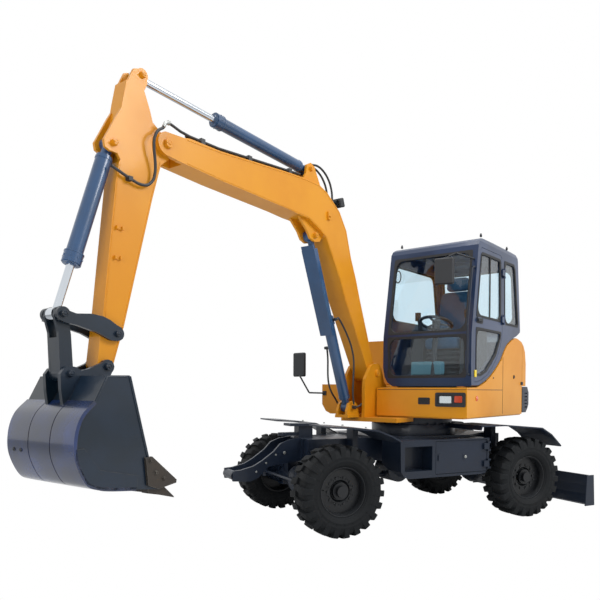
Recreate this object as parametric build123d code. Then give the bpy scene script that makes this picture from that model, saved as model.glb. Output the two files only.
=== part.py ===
"""Wheeled excavator, about 5.8 t: one solid or group of solids per named piece."""
import math
import os

from build123d import *

os.makedirs("parts", exist_ok=True)

# Lengths in mm, angles in degrees. Chassis frame: +X is forward, +Y left, Z up.
# The upper works are drawn facing +X round the slew axis and turned by slew_deg.
origin_x = -844.0       # middle of the wheelbase to the part's own origin
origin_y = -319.0
slew_deg = 27.0
slew_x = -240.0         # slew axis behind the middle of the wheelbase

# Running gear
wheelbase = 2204.0
track = 1570.0
tyre_r = 420.0
tyre_w = 305.0
rim_r = 228.0
lug_count = 22
lug_h = 26.0
facets = 44             # flats round a tyre, two to each bar
kingpin_y = 560.0
axle_r = 72.0
pin_gap = 0.05
eye_play = 24.0         # room round the necked pin in the rod's eye, for the cylinder's swing
link_play = 9.6         # the same in the lower eye of the tipping link
neck_cut = 8.0          # how much thinner a necked pin is between its lugs

# Chassis
rail_half = 300.0
rail_z0 = 610.0
rail_z1 = 850.0
frame_front = 1180.0
frame_rear = -1220.0
ring_r = 430.0
ring_top = 1054.7
box_x0 = -640.0
box_x1 = 450.0
box_y = 820.0
box_z0 = 480.0
box_z1 = 849.7
tow_x = 1335.0
tow_z = 890.0
tow_r = 21.0
blade_x = -2020.0
blade_half = 970.0
blade_z0 = 60.0
blade_z1 = 400.0
blade_pivot = (-1330.0, 560.0)

# Upper works, in the slew frame
house_half = 910.0
tail_r = 1420.0
deck_z0 = 1055.0
deck_z1 = 1085.0
skirt_top = 1362.0
skirt_z0 = 1070.0
hood_z = 1940.0
hood_pivot = (-945.0, hood_z + 14.0)
cab_y0 = -110.0
cab_y1 = 900.0
cab_wall = 32.0
arm_y = -285.0          # middle plane of boom, stick and bucket

# Pins of the working arm (x, z) in the arm's middle plane
boom_foot = (543.0, 1519.0)
boom_tip = (3232.0, 3066.0)
stick_end = (3710.0, 1480.0)
bc_foot = (894.0, 1161.0)
bc_top = (1512.0, 2785.0)
sc_foot = (1577.0, 3385.0)
sc_top = (3411.0, 3484.0)
kc_foot = (3635.0, 2952.0)
link_top = (4008.0, 1794.0)
guide_foot = (3634.0, 1699.0)
bucket_link = (3968.0, 1430.0)

boom_half = 105.0
stick_half = 65.0
bucket_half = 375.0


def side_plate(points, y0, y1):
    """Outline in X and Z, drawn out from y0 to y1."""
    flat = make_face(Polyline(*points, close=True))
    return Pos(0, y1, 0) * Rot(X=90) * extrude(flat, y1 - y0)


def front_plate(points, x0, x1):
    """Outline in Y and Z, drawn out from x0 to x1."""
    return Pos(x0, 0, 0) * extrude(Plane.YZ * make_face(Polyline(*points, close=True)), x1 - x0)


def slab(points, z0, z1):
    """Outline in X and Y, drawn up from z0 to z1."""
    return Pos(0, 0, z0) * extrude(make_face(Polyline(*points, close=True)), z1 - z0)


def block(x0, x1, y0, y1, z0, z1):
    return Pos((x0 + x1) / 2, (y0 + y1) / 2, (z0 + z1) / 2) * Box(x1 - x0, y1 - y0, z1 - z0)


def rod_between(a, b, radius):
    """Round bar between two points in space."""
    start = Vector(*a)
    run = Vector(*b) - start
    half = run.length / 2
    return Plane(origin=start, z_dir=run) * Pos(0, 0, half) * Cylinder(radius, run.length)


def cross_bar(pin, y0, y1, radius):
    """Round bar along Y through a pin position (x, z)."""
    return Pos(pin[0], (y0 + y1) / 2, pin[1]) * Rot(X=90) * Cylinder(radius, y1 - y0)


def upright(x, y, z0, z1, radius):
    return Pos(x, y, (z0 + z1) / 2) * Cylinder(radius, z1 - z0)


def between(a, b, share):
    return tuple(p + (q - p) * share for p, q in zip(a, b))


def toward(a, b, distance):
    """Point on the line from a to b, the given distance from a."""
    length = math.dist(a, b)
    return between(a, b, distance / length)


def upright_hinge(x, y, z, reach):
    """Fixed lugs with their pin, and the turning knuckle, of one upright hinge."""
    pin = upright(x, y, z - 52, z + 52, 5)
    lugs = upright(x, y, z + 32, z + 50, 11) + upright(x, y, z - 50, z - 32, 11)
    back = block(x - 24, x, y - reach, y + 8, z + 32, z + 50) + block(x - 24, x, y - reach, y + 8, z - 50, z - 32)
    knuckle = upright(x, y, z - 31, z + 31, 11) + block(x, x + 60, y - reach, y + 8, z - 31, z + 31)
    knuckle += block(x + 43, x + 60, y - reach - 4, y - reach + 1, z - 31, z + 31)
    return fuse(lugs, back, pin), knuckle - upright(x, y, z - 60, z + 60, 5 + pin_gap)


def hose(points, radius):
    """Round hose: straight runs joined by the largest arcs that fit between them."""
    points = [Vector(*point) for point in points]
    bends = []
    for a, b, c in zip(points, points[1:], points[2:]):
        run = min((b - a).length, (c - b).length)
        bends.append(0.45 * run / math.tan(math.radians((b - a).get_angle(c - b)) / 2))
    path = FilletPolyline(*points, radius=bends)
    tube = sweep(Plane(origin=path @ 0, z_dir=path % 0) * Circle(radius), path=path)
    print("hose", round(path.length), "mm, tightest bend", round(min(bends)),
          "volume share", round(tube.volume / (math.pi * radius ** 2 * path.length), 4))
    return tube


def both_sides(inner, outer):
    return [(arm_y + inner, arm_y + outer), (arm_y - outer, arm_y - inner)]


def fuse(first, *others):
    """First solid with all the others joined to it."""
    whole = first
    for other in others:
        whole = whole + other
    return whole


def solids_of(*shapes):
    """One compound from shapes that stay apart."""
    found = []
    for shape in shapes:
        found.extend(shape.solids())
    return Compound(children=found)


def chassis_part(shape):
    return Pos(origin_x, origin_y, 0) * shape


def upper_part(shape):
    return Pos(origin_x + slew_x, origin_y, 0) * Rot(Z=slew_deg) * shape


pieces = {}


def save(name, shape):
    pieces[name] = shape


# Wheels

def tyre():
    """Carcass of flat facets round the axle, with bars fused to both halves of its tread."""
    core_r = tyre_r - lug_h
    half = tyre_w / 2
    fit = 1 / math.cos(math.pi / facets)
    profile = [
        (half - 36, rim_r * fit), (half, rim_r + 82), (half - 10, core_r - 40), (half - 44, core_r - 6),
    ]
    profile += [(-y, r) for y, r in reversed(profile)] + [(62 - half, rim_r * fit), (84 - half, rim_r + 40)]
    profile += [(-y, r) for y, r in reversed(profile[-2:])]
    rings = []
    for y, r in profile:
        turns = [2 * math.pi * number / facets for number in range(facets)]
        rings.append([Vector(r * math.sin(turn), y, r * math.cos(turn)) for turn in turns])
    faces = []
    for one, two in zip(rings, rings[1:] + rings[:1]):
        for number in range(facets):
            after = (number + 1) % facets
            faces.append(Face(Wire.make_polygon([one[number], one[after], two[after], two[number]])))
    core = Solid(Shell(faces))
    lugs = []
    lug_len = half - 6
    outline = [(-26, 4), (20, 4), (46, lug_len), (-4, lug_len)]
    for side in (-1, 1):
        flat = make_face(Polyline(*[(x, side * y) for x, y in outline], close=True))
        lug = Pos(0, 0, tyre_r - 74) * extrude(flat, 72)
        for number in range(lug_count):
            angle = 360.0 * (number + (0.5 if side > 0 else 0.0)) / lug_count
            lugs.append(Rot(Y=angle) * lug)
    return core + lugs


def rim():
    half = tyre_w / 2 - 44
    profile = [
        (rim_r - 14, -half), (rim_r - 0.3, -half), (rim_r - 0.3, half), (rim_r - 14, half),
        (rim_r - 26, half - 30), (rim_r - 26, -half + 30),
    ]
    barrel = revolve(make_face(Polyline(*profile, close=True)), axis=Axis.Y)
    disc = [
        (0, 18), (84, 18), (102, 40), (rim_r - 20, 40), (rim_r - 20, 24), (108, 24), (90, 2), (0, 2),
    ]
    web = revolve(make_face(Polyline(*disc, close=True)), axis=Axis.Y)
    hub = Pos(0, 30, 0) * Rot(X=90) * Cylinder(78, 60)
    cap = Pos(0, 78, 0) * Rot(X=90) * Cylinder(52, 44)
    nut = Pos(125, 51, 0) * Rot(X=90) * extrude(RegularPolygon(13, 6), 26)
    nuts = [Rot(Y=36 * number) * nut for number in range(10)]
    return fuse(barrel, web, hub, cap) + nuts


wheels = [
    # name, x, side
    ("front_left", wheelbase / 2, 1),
    ("front_right", wheelbase / 2, -1),
    ("rear_left", -wheelbase / 2, 1),
    ("rear_right", -wheelbase / 2, -1),
]
tyre_shape = tyre()
rim_shape = rim()
for name, x, side in wheels:
    turn = Rot(Z=0 if side > 0 else 180)
    spot = Pos(x, side * track / 2, tyre_r)
    save("tyre_" + name, chassis_part(spot * turn * tyre_shape))
    save("rim_" + name, chassis_part(spot * turn * rim_shape))

# Axles

hub_face = track / 2 - 0.3
tie_x = wheelbase / 2 + 206
front_x = wheelbase / 2
rear_x = -front_x


def axle(x, half):
    tube = Pos(x, 0, tyre_r) * Rot(X=90) * Cylinder(axle_r, 2 * half)
    bowl_line = [(0, -150), (90, -140), (150, -70), (165, 0), (150, 70), (90, 140), (0, 150)]
    bowl = Pos(x, 0, tyre_r) * revolve(make_face(Polyline(*bowl_line, close=True)), axis=Axis.Y)
    pads = [block(x - 60, x + 60, s * 330 - 60, s * 330 + 60, tyre_r + 40, rail_z0 - 0.3) for s in (-1, 1)]
    return fuse(tube, bowl, *pads)


front_axle = axle(front_x, kingpin_y - 62)
for side in (-1, 1):
    yoke_y = side * (kingpin_y - 30)
    for z0, z1 in ((tyre_r - 112, tyre_r - 84), (tyre_r + 84, tyre_r + 112)):
        front_axle += block(front_x - 45, front_x + 45, min(side * (kingpin_y - 110), side * (kingpin_y + 38)),
                            max(side * (kingpin_y - 110), side * (kingpin_y + 38)), z0, z1)
    stem = side * (kingpin_y - 86)
    front_axle += block(front_x - 45, front_x + 45, stem - 24, stem + 24, tyre_r - 112, tyre_r + 112)
    front_axle -= upright(front_x, side * kingpin_y, tyre_r - 130, tyre_r + 130, 22 + pin_gap)

rear_axle = axle(rear_x, track / 2 - 60)
for side in (-1, 1):
    rear_axle += Pos(rear_x, side * (hub_face - 65), tyre_r) * Rot(X=90) * Cylinder(118, 130)
transfer = Pos(40, 0, 475) * Rot(X=90) * Cylinder(130, 300)
transfer += block(-60, 140, -120, 120, 500, rail_z0 - 0.3)
shaft_front = rod_between((100, 0, tyre_r), (front_x - 60, 0, tyre_r), 32)
shaft_rear = rod_between((-100, 0, tyre_r), (rear_x + 60, 0, tyre_r), 32)
save("axles", chassis_part(fuse(front_axle, transfer, shaft_front, shaft_rear, rear_axle)))

for name, side in (("left", 1), ("right", -1)):
    y_in = kingpin_y
    body = block(front_x - 55, front_x + 55, y_in - 36, y_in + 66, tyre_r - 78, tyre_r + 78)
    if side < 0:
        body = mirror(body, about=Plane.XZ)
    drum_y = side * (hub_face + y_in + 60) / 2
    drum = Pos(front_x, drum_y, tyre_r) * Rot(X=90) * Cylinder(112, hub_face - y_in - 60)
    pin = upright(front_x, side * y_in, tyre_r - 116, tyre_r + 116, 22)
    arm_y0, arm_y1 = sorted((side * (kingpin_y - 25), side * (kingpin_y + 25)))
    arm = block(front_x + 40, tie_x, arm_y0, arm_y1, tyre_r - 20, tyre_r + 10)
    arm += upright(tie_x, side * kingpin_y, tyre_r - 20, tyre_r + 10, 30)
    tie_pin = upright(tie_x, side * kingpin_y, tyre_r - 20, tyre_r + 46, 13)
    save("knuckle_" + name, chassis_part(fuse(body, drum, pin, arm, tie_pin)))

tie = rod_between((tie_x, 25 - kingpin_y, tyre_r + 28), (tie_x, kingpin_y - 25, tyre_r + 28), 14)
for side in (-1, 1):
    tie += upright(tie_x, side * kingpin_y, tyre_r + 15.3, tyre_r + 41, 32)
for side in (-1, 1):
    tie -= upright(tie_x, side * kingpin_y, tyre_r, tyre_r + 60, 13 + pin_gap)
save("tie_rod", chassis_part(tie))

# Chassis

frame = block(frame_rear, frame_front, -rail_half, rail_half, rail_z0, rail_z1)
frame -= block(260, frame_front - 60, -rail_half + 60, rail_half - 60, rail_z0 - 1, rail_z1 - 25)
frame -= block(frame_rear + 60, -420, -rail_half + 60, rail_half - 60, rail_z0 - 1, rail_z1 - 25)
frame += slab([(520, -360), (520, 360), (280, 600), (-560, 600), (-980, 330), (-980, -330), (-560, -600),
               (280, -600)], rail_z1, rail_z1 + 20)
frame += upright(slew_x, 0, rail_z1 - 10, ring_top - 75, ring_r - 20)
frame += upright(slew_x, 0, ring_top - 80, ring_top, ring_r)
frame += block(1027, frame_front, -60, 60, rail_z1 - 5, 975) + block(990, 1284, -90, 90, 972, 998)
for side in (-1, 1):
    y0, y1 = sorted((side * 150, side * 185))
    frame += side_plate([(frame_rear + 10, rail_z0), (frame_rear - 160, 500), (frame_rear - 160, 620),
                         (frame_rear + 10, rail_z1)], y0, y1)
frame -= cross_bar(blade_pivot, -200, 200, 25 + pin_gap)
frame += side_plate([(frame_rear + 10, 700), (frame_rear - 150, 760), (frame_rear - 150, 845),
                     (frame_rear + 10, rail_z1)], -62, -42)
frame += side_plate([(frame_rear + 10, 700), (frame_rear - 150, 760), (frame_rear - 150, 845),
                     (frame_rear + 10, rail_z1)], 42, 62)
blade_foot = (frame_rear - 105.0, 805.0)
frame += cross_bar(blade_foot, -74, 74, 20)
frame += block(frame_front - 10, tow_x, -45, 45, tow_z - 16, tow_z + 16)
frame += upright(tow_x, 0, tow_z - 16, tow_z + 16, 45)
frame -= upright(tow_x, 0, tow_z - 40, tow_z + 40, tow_r)
save("chassis_frame", chassis_part(frame))

bumper_side = [
    (frame_front + 15, 634), (1527, 592), (1643, 483), (1722, 455), (1890, 466), (1890, 563), (1812, 569),
    (1688, 600), (1597, 650), (1481, 733), (1410, 808), (1315, 844), (frame_front + 15, 858),
]
bumper = Pos(1862, 0, 514) * Rot(X=90) * Cylinder(44, 260)
bumper += block(frame_front + 0.3, frame_front + 20, -190, 190, 634, 849)
for y0, y1 in ((-150, -118), (118, 150)):
    bumper += side_plate(bumper_side, y0, y1)
for y0, y1 in ((-162, -112), (112, 162)):
    bumper += cross_bar((1374, 718), y0, y1, 14)
save("front_bumper", chassis_part(bumper))

fender_front = [
    (506, 857), (609, 912), (770, 972), (1041, 1000), (1230, 1010), (1230, 996), (1043, 986), (774, 958),
    (614, 899), (512, 844),
]
fender_rear = [
    (-420, 940), (-437, 984), (-743, 987), (-1262, 946), (-1400, 872), (-1541, 746), (-1530, 735),
    (-1392, 860), (-1256, 932), (-743, 973), (-449, 970), (-434, 936),
]
fenders = []
for side in (-1, 1):
    y0, y1 = sorted((side * 420, side * 940))
    front = side_plate(fender_front, y0, y1)
    rear = side_plate(fender_rear, y0, y1)
    stay_y = sorted((side * (rail_half + 0.3), side * 430))
    front += block(700, 760, stay_y[0], stay_y[1], 700, 950)
    rear += block(-1060, -1000, stay_y[0], stay_y[1], 700, 955)
    fenders += [front, rear]
save("fenders", chassis_part(solids_of(*fenders)))

box_side = [
    (box_x0, box_z1), (box_x0 + 10, box_z0 + 60), (box_x0 + 50, box_z0 + 12), (box_x0 + 110, box_z0),
    (box_x1 - 110, box_z0), (box_x1 - 50, box_z0 + 14), (box_x1 - 8, box_z0 + 70), (box_x1, box_z1),
]
lid_hinges = [upright_hinge(box_x0 + 24, box_y + 13, z, 13) for z in (585, 765)]
boxes = []
for side in (-1, 1):
    y0, y1 = sorted((side * 470, side * box_y))
    body = side_plate(box_side, y0, y1)
    body -= front_plate([(side * 465, 600), (side * 560, 562), (side * 700, 500), (side * 750, 475),
                         (side * 465, 475)], box_x0 - 5, box_x1 + 5)
    step_y = sorted((side * 640, side * (box_y + 10)))
    body -= block(80, 400, step_y[0], step_y[1], box_z0 + 70, box_z1 - 60)
    if side > 0:
        body -= block(box_x0 + 50, 20, 490, box_y - 20, box_z0 + 135, box_z1 - 30)
        body -= block(box_x0 + 30, 40, box_y - 22, box_y + 10, box_z0 + 25, box_z1 - 15)
        body = fuse(body, *[fixed for fixed, turning in lid_hinges])
    else:
        body -= block(box_x0 - 5, 50, -box_y - 5, -400, box_z0 - 5, box_z0 + 80)
    boxes.append(body)
save("step_boxes", chassis_part(solids_of(*boxes)))

lid = block(box_x0 + 36, 34, box_y - 16, box_y - 2, box_z0 + 31, box_z1 - 21)
lid += block(-20, 10, box_y - 6, box_y + 8, 640, 700)
lid = fuse(lid, *[turning for fixed, turning in lid_hinges])
save("box_lid", chassis_part(lid))

# Blade

moldboard = [
    (blade_x + 60, blade_z0), (blade_x + 85, blade_z0 + 20), (blade_x + 62, blade_z0 + 120),
    (blade_x + 60, blade_z0 + 220), (blade_x + 75, blade_z1), (blade_x + 55, blade_z1),
    (blade_x + 38, blade_z0 + 220), (blade_x + 36, blade_z0 + 120), (blade_x + 30, blade_z0),
]
blade = side_plate(moldboard, -blade_half, blade_half)
for side in (-1, 1):
    y0, y1 = sorted((side * (blade_half - 14), side * blade_half))
    blade += side_plate([(blade_x - 10, blade_z0), (blade_x + 130, blade_z0), (blade_x + 110, blade_z1),
                         (blade_x + 5, blade_z1)], y0, y1)
    y0, y1 = sorted((side * 105, side * 144.6))
    blade += side_plate([(blade_x + 55, 120), (blade_x + 55, 330), (-1600, 480), (blade_pivot[0] - 40, 615),
                         (blade_pivot[0] + 50, 600), (blade_pivot[0] + 50, 520), (-1560, 370), (-1800, 130)],
                        y0, y1)
blade += cross_bar((blade_x + 230, 250), -130, 130, 40)
blade += cross_bar(blade_pivot, -190, 190, 25)
blade_eye = (-1700.0, 420.0)
for y0, y1 in ((-62, -42), (42, 62)):
    blade += side_plate([(blade_x + 55, 200), (blade_x + 55, 340), (blade_eye[0] - 30, blade_eye[1] + 50),
                         (blade_eye[0] + 50, blade_eye[1] + 30), (blade_eye[0] + 50, blade_eye[1] - 40),
                         (blade_x + 260, 230)], y0, y1)
blade += cross_bar(blade_eye, -74, 74, 20)
save("blade", chassis_part(blade))


def necked_pin(pin, y_mid, half, eye_half, radius):
    """Pin through a pair of lugs, thinner between them where the rod's eye swings."""
    ends = cross_bar(pin, y_mid - half, y_mid + half, radius)
    waist = cross_bar(pin, y_mid - eye_half - 1, y_mid + eye_half + 1, radius)
    return ends - waist + cross_bar(pin, y_mid - half, y_mid + half, radius - neck_cut)


def cylinder_pair(foot, top, y_mid, gland, outer, rod, eye_r, eye_half, pins, top_bore):
    """Barrel and rod of one cylinder lying along the line from foot to top."""
    foot_pt = (foot[0], y_mid, foot[1])
    top_pt = (top[0], y_mid, top[1])
    length = math.dist(foot_pt, top_pt)
    barrel = rod_between(toward(foot_pt, top_pt, 95), toward(foot_pt, top_pt, gland), outer)
    barrel += rod_between(toward(foot_pt, top_pt, eye_r * 0.6), toward(foot_pt, top_pt, 100), eye_half - 3)
    barrel += rod_between(toward(foot_pt, top_pt, gland - 70), toward(foot_pt, top_pt, gland), outer + 8)
    barrel += cross_bar(foot, y_mid - eye_half, y_mid + eye_half, eye_r)
    bore = rod_between(toward(foot_pt, top_pt, 120), toward(foot_pt, top_pt, gland + 5), rod + pin_gap)
    barrel -= bore
    barrel -= cross_bar(foot, y_mid - eye_half - 1, y_mid + eye_half + 1, pins + pin_gap)
    bar = rod_between(toward(foot_pt, top_pt, length * 0.32), toward(foot_pt, top_pt, length - eye_r * 0.85), rod)
    bar += cross_bar(top, y_mid - eye_half, y_mid + eye_half, eye_r)
    bar -= cross_bar(top, y_mid - eye_half - 1, y_mid + eye_half + 1, top_bore)
    return barrel, bar


blade_barrel, blade_rod = cylinder_pair(blade_foot, blade_eye, 0, 330, 42, 24, 36, 37, 20, 23)
save("blade_barrel", chassis_part(blade_barrel))
save("blade_rod", chassis_part(blade_rod))

# House

def house_plan(x0, x1, radius, y0=-house_half, y1=house_half):
    flat = Pos((x0 + x1) / 2, (y0 + y1) / 2) * Rectangle(x1 - x0, y1 - y0)
    return flat & Circle(radius)


ear_in = boom_half + 5
ear_out = ear_in + 35
ear_line = [
    (250, deck_z0), (270, 1300), (400, 1430), (452, 1560), (480, 1605), (543, 1622), (610, 1612), (657, 1592),
    (712, 1520), (761, 1454), (775, 1354), (773, 1139), (786, 1012), (445, 1012), (445, deck_z0),
]
skin = 14.0
lamp_y0 = house_half - 328      # opening for the lamps in the left front panel
lamp_y1 = house_half - 26
lamp_z0 = 1186.0
lamp_z1 = 1306.0
mid_y0 = arm_y - ear_out - 16
mid_y1 = arm_y + ear_out + 16
deck = house_plan(-tail_r + 70, 520, tail_r - 70, -740, 850)
deck -= Pos(600, -608) * Rectangle(300, 346)
upper = Pos(0, 0, deck_z0) * extrude(deck, deck_z1 - deck_z0)
upper += block(445, 786, arm_y - ear_out, 250, 1012, deck_z0) + block(500, 985, arm_y - 80, arm_y + 80, deck_z0, deck_z1)
for y0, y1 in both_sides(ear_in, ear_out):
    upper += side_plate(ear_line, y0, y1)
for y0, y1 in both_sides(45, 72):
    upper += side_plate([(760, deck_z0), (800, 1180), (850, 1215), (894, 1222), (950, 1200), (985, 1120),
                         (985, deck_z0)], y0, y1)
    upper += cross_bar(bc_foot, y0, y1, 58)
upper += cross_bar(boom_foot, arm_y - ear_out - 14, arm_y + ear_out + 14, 38)
upper += cross_bar(bc_foot, arm_y - 80, arm_y + 80, 25)
save("upper_frame", upper_part(upper))

cab_under = [
    (340, 1380), (240, 1402), (110, 1442), (-20, 1500), (-150, 1575), (-286, 1672), (-383, 1777), (-470, 1850),
    (-600, 1908), (-761, 1955), (-872, 2005),
]
cab_line = [
    (455, 1378), (468, 1600), (463, 1900), (312, 2790), (285, 2835), (240, 2862), (150, 2876), (-261, 2902),
    (-588, 2902), (-718, 2890), (-770, 2845), (-787, 2800), (-880, 2030),
] + cab_under[::-1]
skirt_line = [(-942, skirt_z0), (570, skirt_z0), (570, skirt_top), (400, skirt_top + 6)]
skirt_line += [(x - 8, z - 13) for x, z in cab_under[:-1]] + [(-775, hood_z), (-942, hood_z)]
right_line = [
    (-942, skirt_z0), (500, skirt_z0), (500, 1400), (-340, 1410), (-362, hood_z), (-942, hood_z),
]
middle_line = [
    (-942, deck_z1 + 0.3), (225, deck_z1 + 0.3), (200, 1380), (-340, 1410), (-362, hood_z), (-942, hood_z),
]
tail_line = [
    (1400, 1300), (1400, 1650), (1378, 1789), (1340, 1855), (1288, 1900), (1200, 1928), (1100, hood_z),
]
left_front = [
    (mid_y1, skirt_z0), (house_half - 4, skirt_z0), (house_half - 4, hood_z), (mid_y1, hood_z),
]
right_front = [
    (mid_y0, skirt_z0), (-789, skirt_z0), (-854, 1099), (-house_half + 4, 1176), (-house_half + 4, hood_z),
    (mid_y0, hood_z),
]
middle_front = [(mid_y0, deck_z1 + 0.3), (mid_y1, deck_z1 + 0.3), (mid_y1, hood_z), (mid_y0, hood_z)]


def tail_bowl(inset):
    """Everything inside the rounded tail, the given distance in from its outside."""
    line = [(0, 900)] + [(1400 - inset, 900)] + [(r - inset, z - inset) for r, z in tail_line]
    line += [(0, hood_z - inset)]
    flat = Plane.XZ * make_face(Polyline(*line, close=True))
    return revolve(flat, axis=Axis.Z)


def panel_shell(side_line, front_line):
    """Skin of a house panel group, open below and to the rear."""
    parts = []
    for inset in (0.0, skin):
        side = make_face(Polyline(*side_line, close=True))
        front = make_face(Polyline(*front_line, close=True))
        if inset:
            side = offset(side, amount=-inset)
            front = offset(front, amount=-inset)
        solid = Pos(0, house_half, 0) * Rot(X=90) * extrude(side, 2 * house_half)
        solid &= Pos(-1000, 0, 0) * extrude(Plane.YZ * front, 2000)
        parts.append(solid & tail_bowl(inset))
    outer, inner = parts
    foot = min(z for x, z in side_line)
    below = Pos(0, 0, -skin - 5) * inner & block(-1000, 1000, -1000, 1000, foot - 20, foot + skin + 5)
    behind = Pos(-60, 0, 0) * inner & block(-1000, -900, -1000, 1000, foot + skin, hood_z - skin)
    return outer - inner - below - behind


left_panels = panel_shell(skirt_line, left_front)
right_panels = panel_shell(right_line, right_front)
mid_panels = panel_shell(middle_line, middle_front)
panels = left_panels + right_panels
panels -= block(540, 600, lamp_y0, lamp_y1, lamp_z0, lamp_z1)
panels -= block(562, 600, 383, 500, 1203, 1258)
mid_panels -= block(150, 300, arm_y - ear_out - 20, arm_y - ear_in + 5, 1000, 1420)
mid_panels -= block(150, 300, arm_y + ear_in - 5, arm_y + ear_out + 20, 1000, 1420)
panels -= block(-1000, 1000, arm_y - ear_out - 0.3, arm_y + ear_out + 0.3, 1000, hood_z + 50)
engine_bay = block(-1000, -460, -house_half + 18, house_half - 18, deck_z1 - 5, 1720)
panels = panels + mid_panels - engine_bay
panels -= Pos(0, 0, 1000) * extrude(offset(deck, amount=0.3), deck_z1 + 0.3 - 1000)
for y in (-500, 500):
    for y0, y1 in ((y - 60, y - 41), (y + 41, y + 60)):
        panels += cross_bar(hood_pivot, y0, y1, 11)
        panels += block(hood_pivot[0], hood_pivot[0] + 30, y0, y1, hood_z - 6, hood_pivot[1] + 8)
    panels += cross_bar(hood_pivot, y - 62, y + 62, 5)
for y in (cab_y0 + 120, cab_y1 - 120):
    panels += block(360, 440, y - 40, y + 40, skirt_top - 5, 1377.7)
    panels += block(-660, -600, y - 40, y + 40, 1880, 1907.7)
save("house_panels", upper_part(panels))

weight_line = [
    (0, deck_z1 + 0.3), (1405, deck_z1 + 0.3), (1450, 1130), (1480, 1180), (1480, 1320), (1440, 1385), (0, 1385),
]
weight = revolve(Plane.XZ * make_face(Polyline(*weight_line, close=True)), axis=Axis.Z)
weight &= block(-1500, -950, -house_half, house_half, 1000, 1400)
for z in range(1140, 1340, 40):
    weight -= block(-1110, -1000, house_half - 12, house_half + 1, z, z + 16)
    weight -= block(-1110, -1000, -house_half - 1, -house_half + 12, z, z + 16)
save("counterweight", upper_part(weight))

hood = tail_bowl(0) & block(-1500, -948, -house_half + 4, house_half - 4, 1392, hood_z)
hood -= tail_bowl(16) & block(-1500, -930, -house_half + 20, house_half - 20, 1380, hood_z - 16)
for y in (-500, 500):
    hood += cross_bar(hood_pivot, y - 40, y + 40, 11)
    hood += block(hood_pivot[0] - 30, hood_pivot[0], y - 40, y + 40, hood_z - 10, hood_pivot[1] + 8)
    hood -= cross_bar(hood_pivot, y - 60, y + 60, 5 + pin_gap)
save("engine_hood", upper_part(hood))

save("engine", upper_part(block(-905, -480, -640, 600, deck_z1 + 0.3, 1700)))

# Cab

cab_flat = make_face(Polyline(*cab_line, close=True))
cab_front = make_face(Polyline(
    (cab_y0, 1570), (cab_y0 + 14, 1480), (cab_y0 + 48, 1418), (cab_y0 + 100, 1385), (cab_y0 + 150, 1370),
    (cab_y1 - 20, 1370), (cab_y1, 1390), (cab_y1, 2830), (cab_y1 - 12, 2868), (cab_y1 - 45, 2895),
    (cab_y1 - 100, 2915), (cab_y0 + 80, 2915), (cab_y0 + 30, 2890), (cab_y0 + 6, 2845), (cab_y0, 2800),
    close=True))


def cab_block(inset):
    """Cab drawn solid, the given distance in from its outside."""
    side = offset(cab_flat, amount=-inset) if inset else cab_flat
    front = offset(cab_front, amount=-inset) if inset else cab_front
    solid = Pos(0, cab_y1 + 50, 0) * Rot(X=90) * extrude(side, cab_y1 - cab_y0 + 100)
    return solid & Pos(-1000, 0, 0) * extrude(Plane.YZ * front, 2000)


def windshield_x(z):
    """Outer face of the front windows at height z."""
    if z < 1600:
        return 455 + (z - 1378) * 13 / 222
    if z < 1900:
        return 468 - (z - 1600) * 5 / 300
    return 463 - (z - 1900) * 158 / 890


door_line = [
    (392, 1425), (405, 1600), (400, 1900), (262, 2742), (230, 2768), (-270, 2776), (-296, 2750), (-330, 2000),
    (-322, 1905), (-272, 1800), (-190, 1695), (-75, 1590), (70, 1500), (230, 1444), (330, 1426),
]
door_gap = 4.0
rear_window = [(-395, 2060), (-372, 2735), (-660, 2742), (-700, 2690), (-812, 2095), (-790, 2060)]
right_window = [(-780, 2080), (330, 2080), (225, 2700), (-660, 2710)]
upper_pane = [(350, 2075), (246, 2700), (218, 2722), (-252, 2730), (-270, 2712), (-290, 2075)]
lower_pane = [(352, 1490), (360, 1600), (354, 1962), (-300, 1962), (-285, 1895), (-236, 1806), (-160, 1712),
              (-50, 1614), (90, 1534), (245, 1486)]

cab = cab_block(0) - cab_block(cab_wall)
door_hole = offset(make_face(Polyline(*door_line, close=True)), amount=door_gap)
cab -= Pos(0, cab_y1 + 10, 0) * Rot(X=90) * extrude(door_hole, cab_wall + 20)
cab -= side_plate(rear_window, cab_y1 - cab_wall - 10, cab_y1 + 10)
cab -= side_plate(right_window, cab_y0 - 10, cab_y0 + cab_wall + 10)
cab -= block(200, 600, cab_y0 + 60, cab_y1 - 60, 1925, 2735)
cab -= block(380, 600, cab_y0 + 60, cab_y1 - 60, 1470, 1890)
cab -= block(-900, -640, cab_y0 + 70, cab_y1 - 70, 2085, 2720)
door_hinges = [upright_hinge(-345, cab_y1 + 13, z, 13) for z in (2100, 2600)]
cab = fuse(cab, *[fixed for fixed, turning in door_hinges])
save("cab_shell", upper_part(cab))


def inset_pane(line, y_face, thick):
    flat = offset(make_face(Polyline(*line, close=True)), amount=-0.3, kind=Kind.INTERSECTION)
    return Pos(0, y_face, 0) * Rot(X=90) * extrude(flat, thick)


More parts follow.
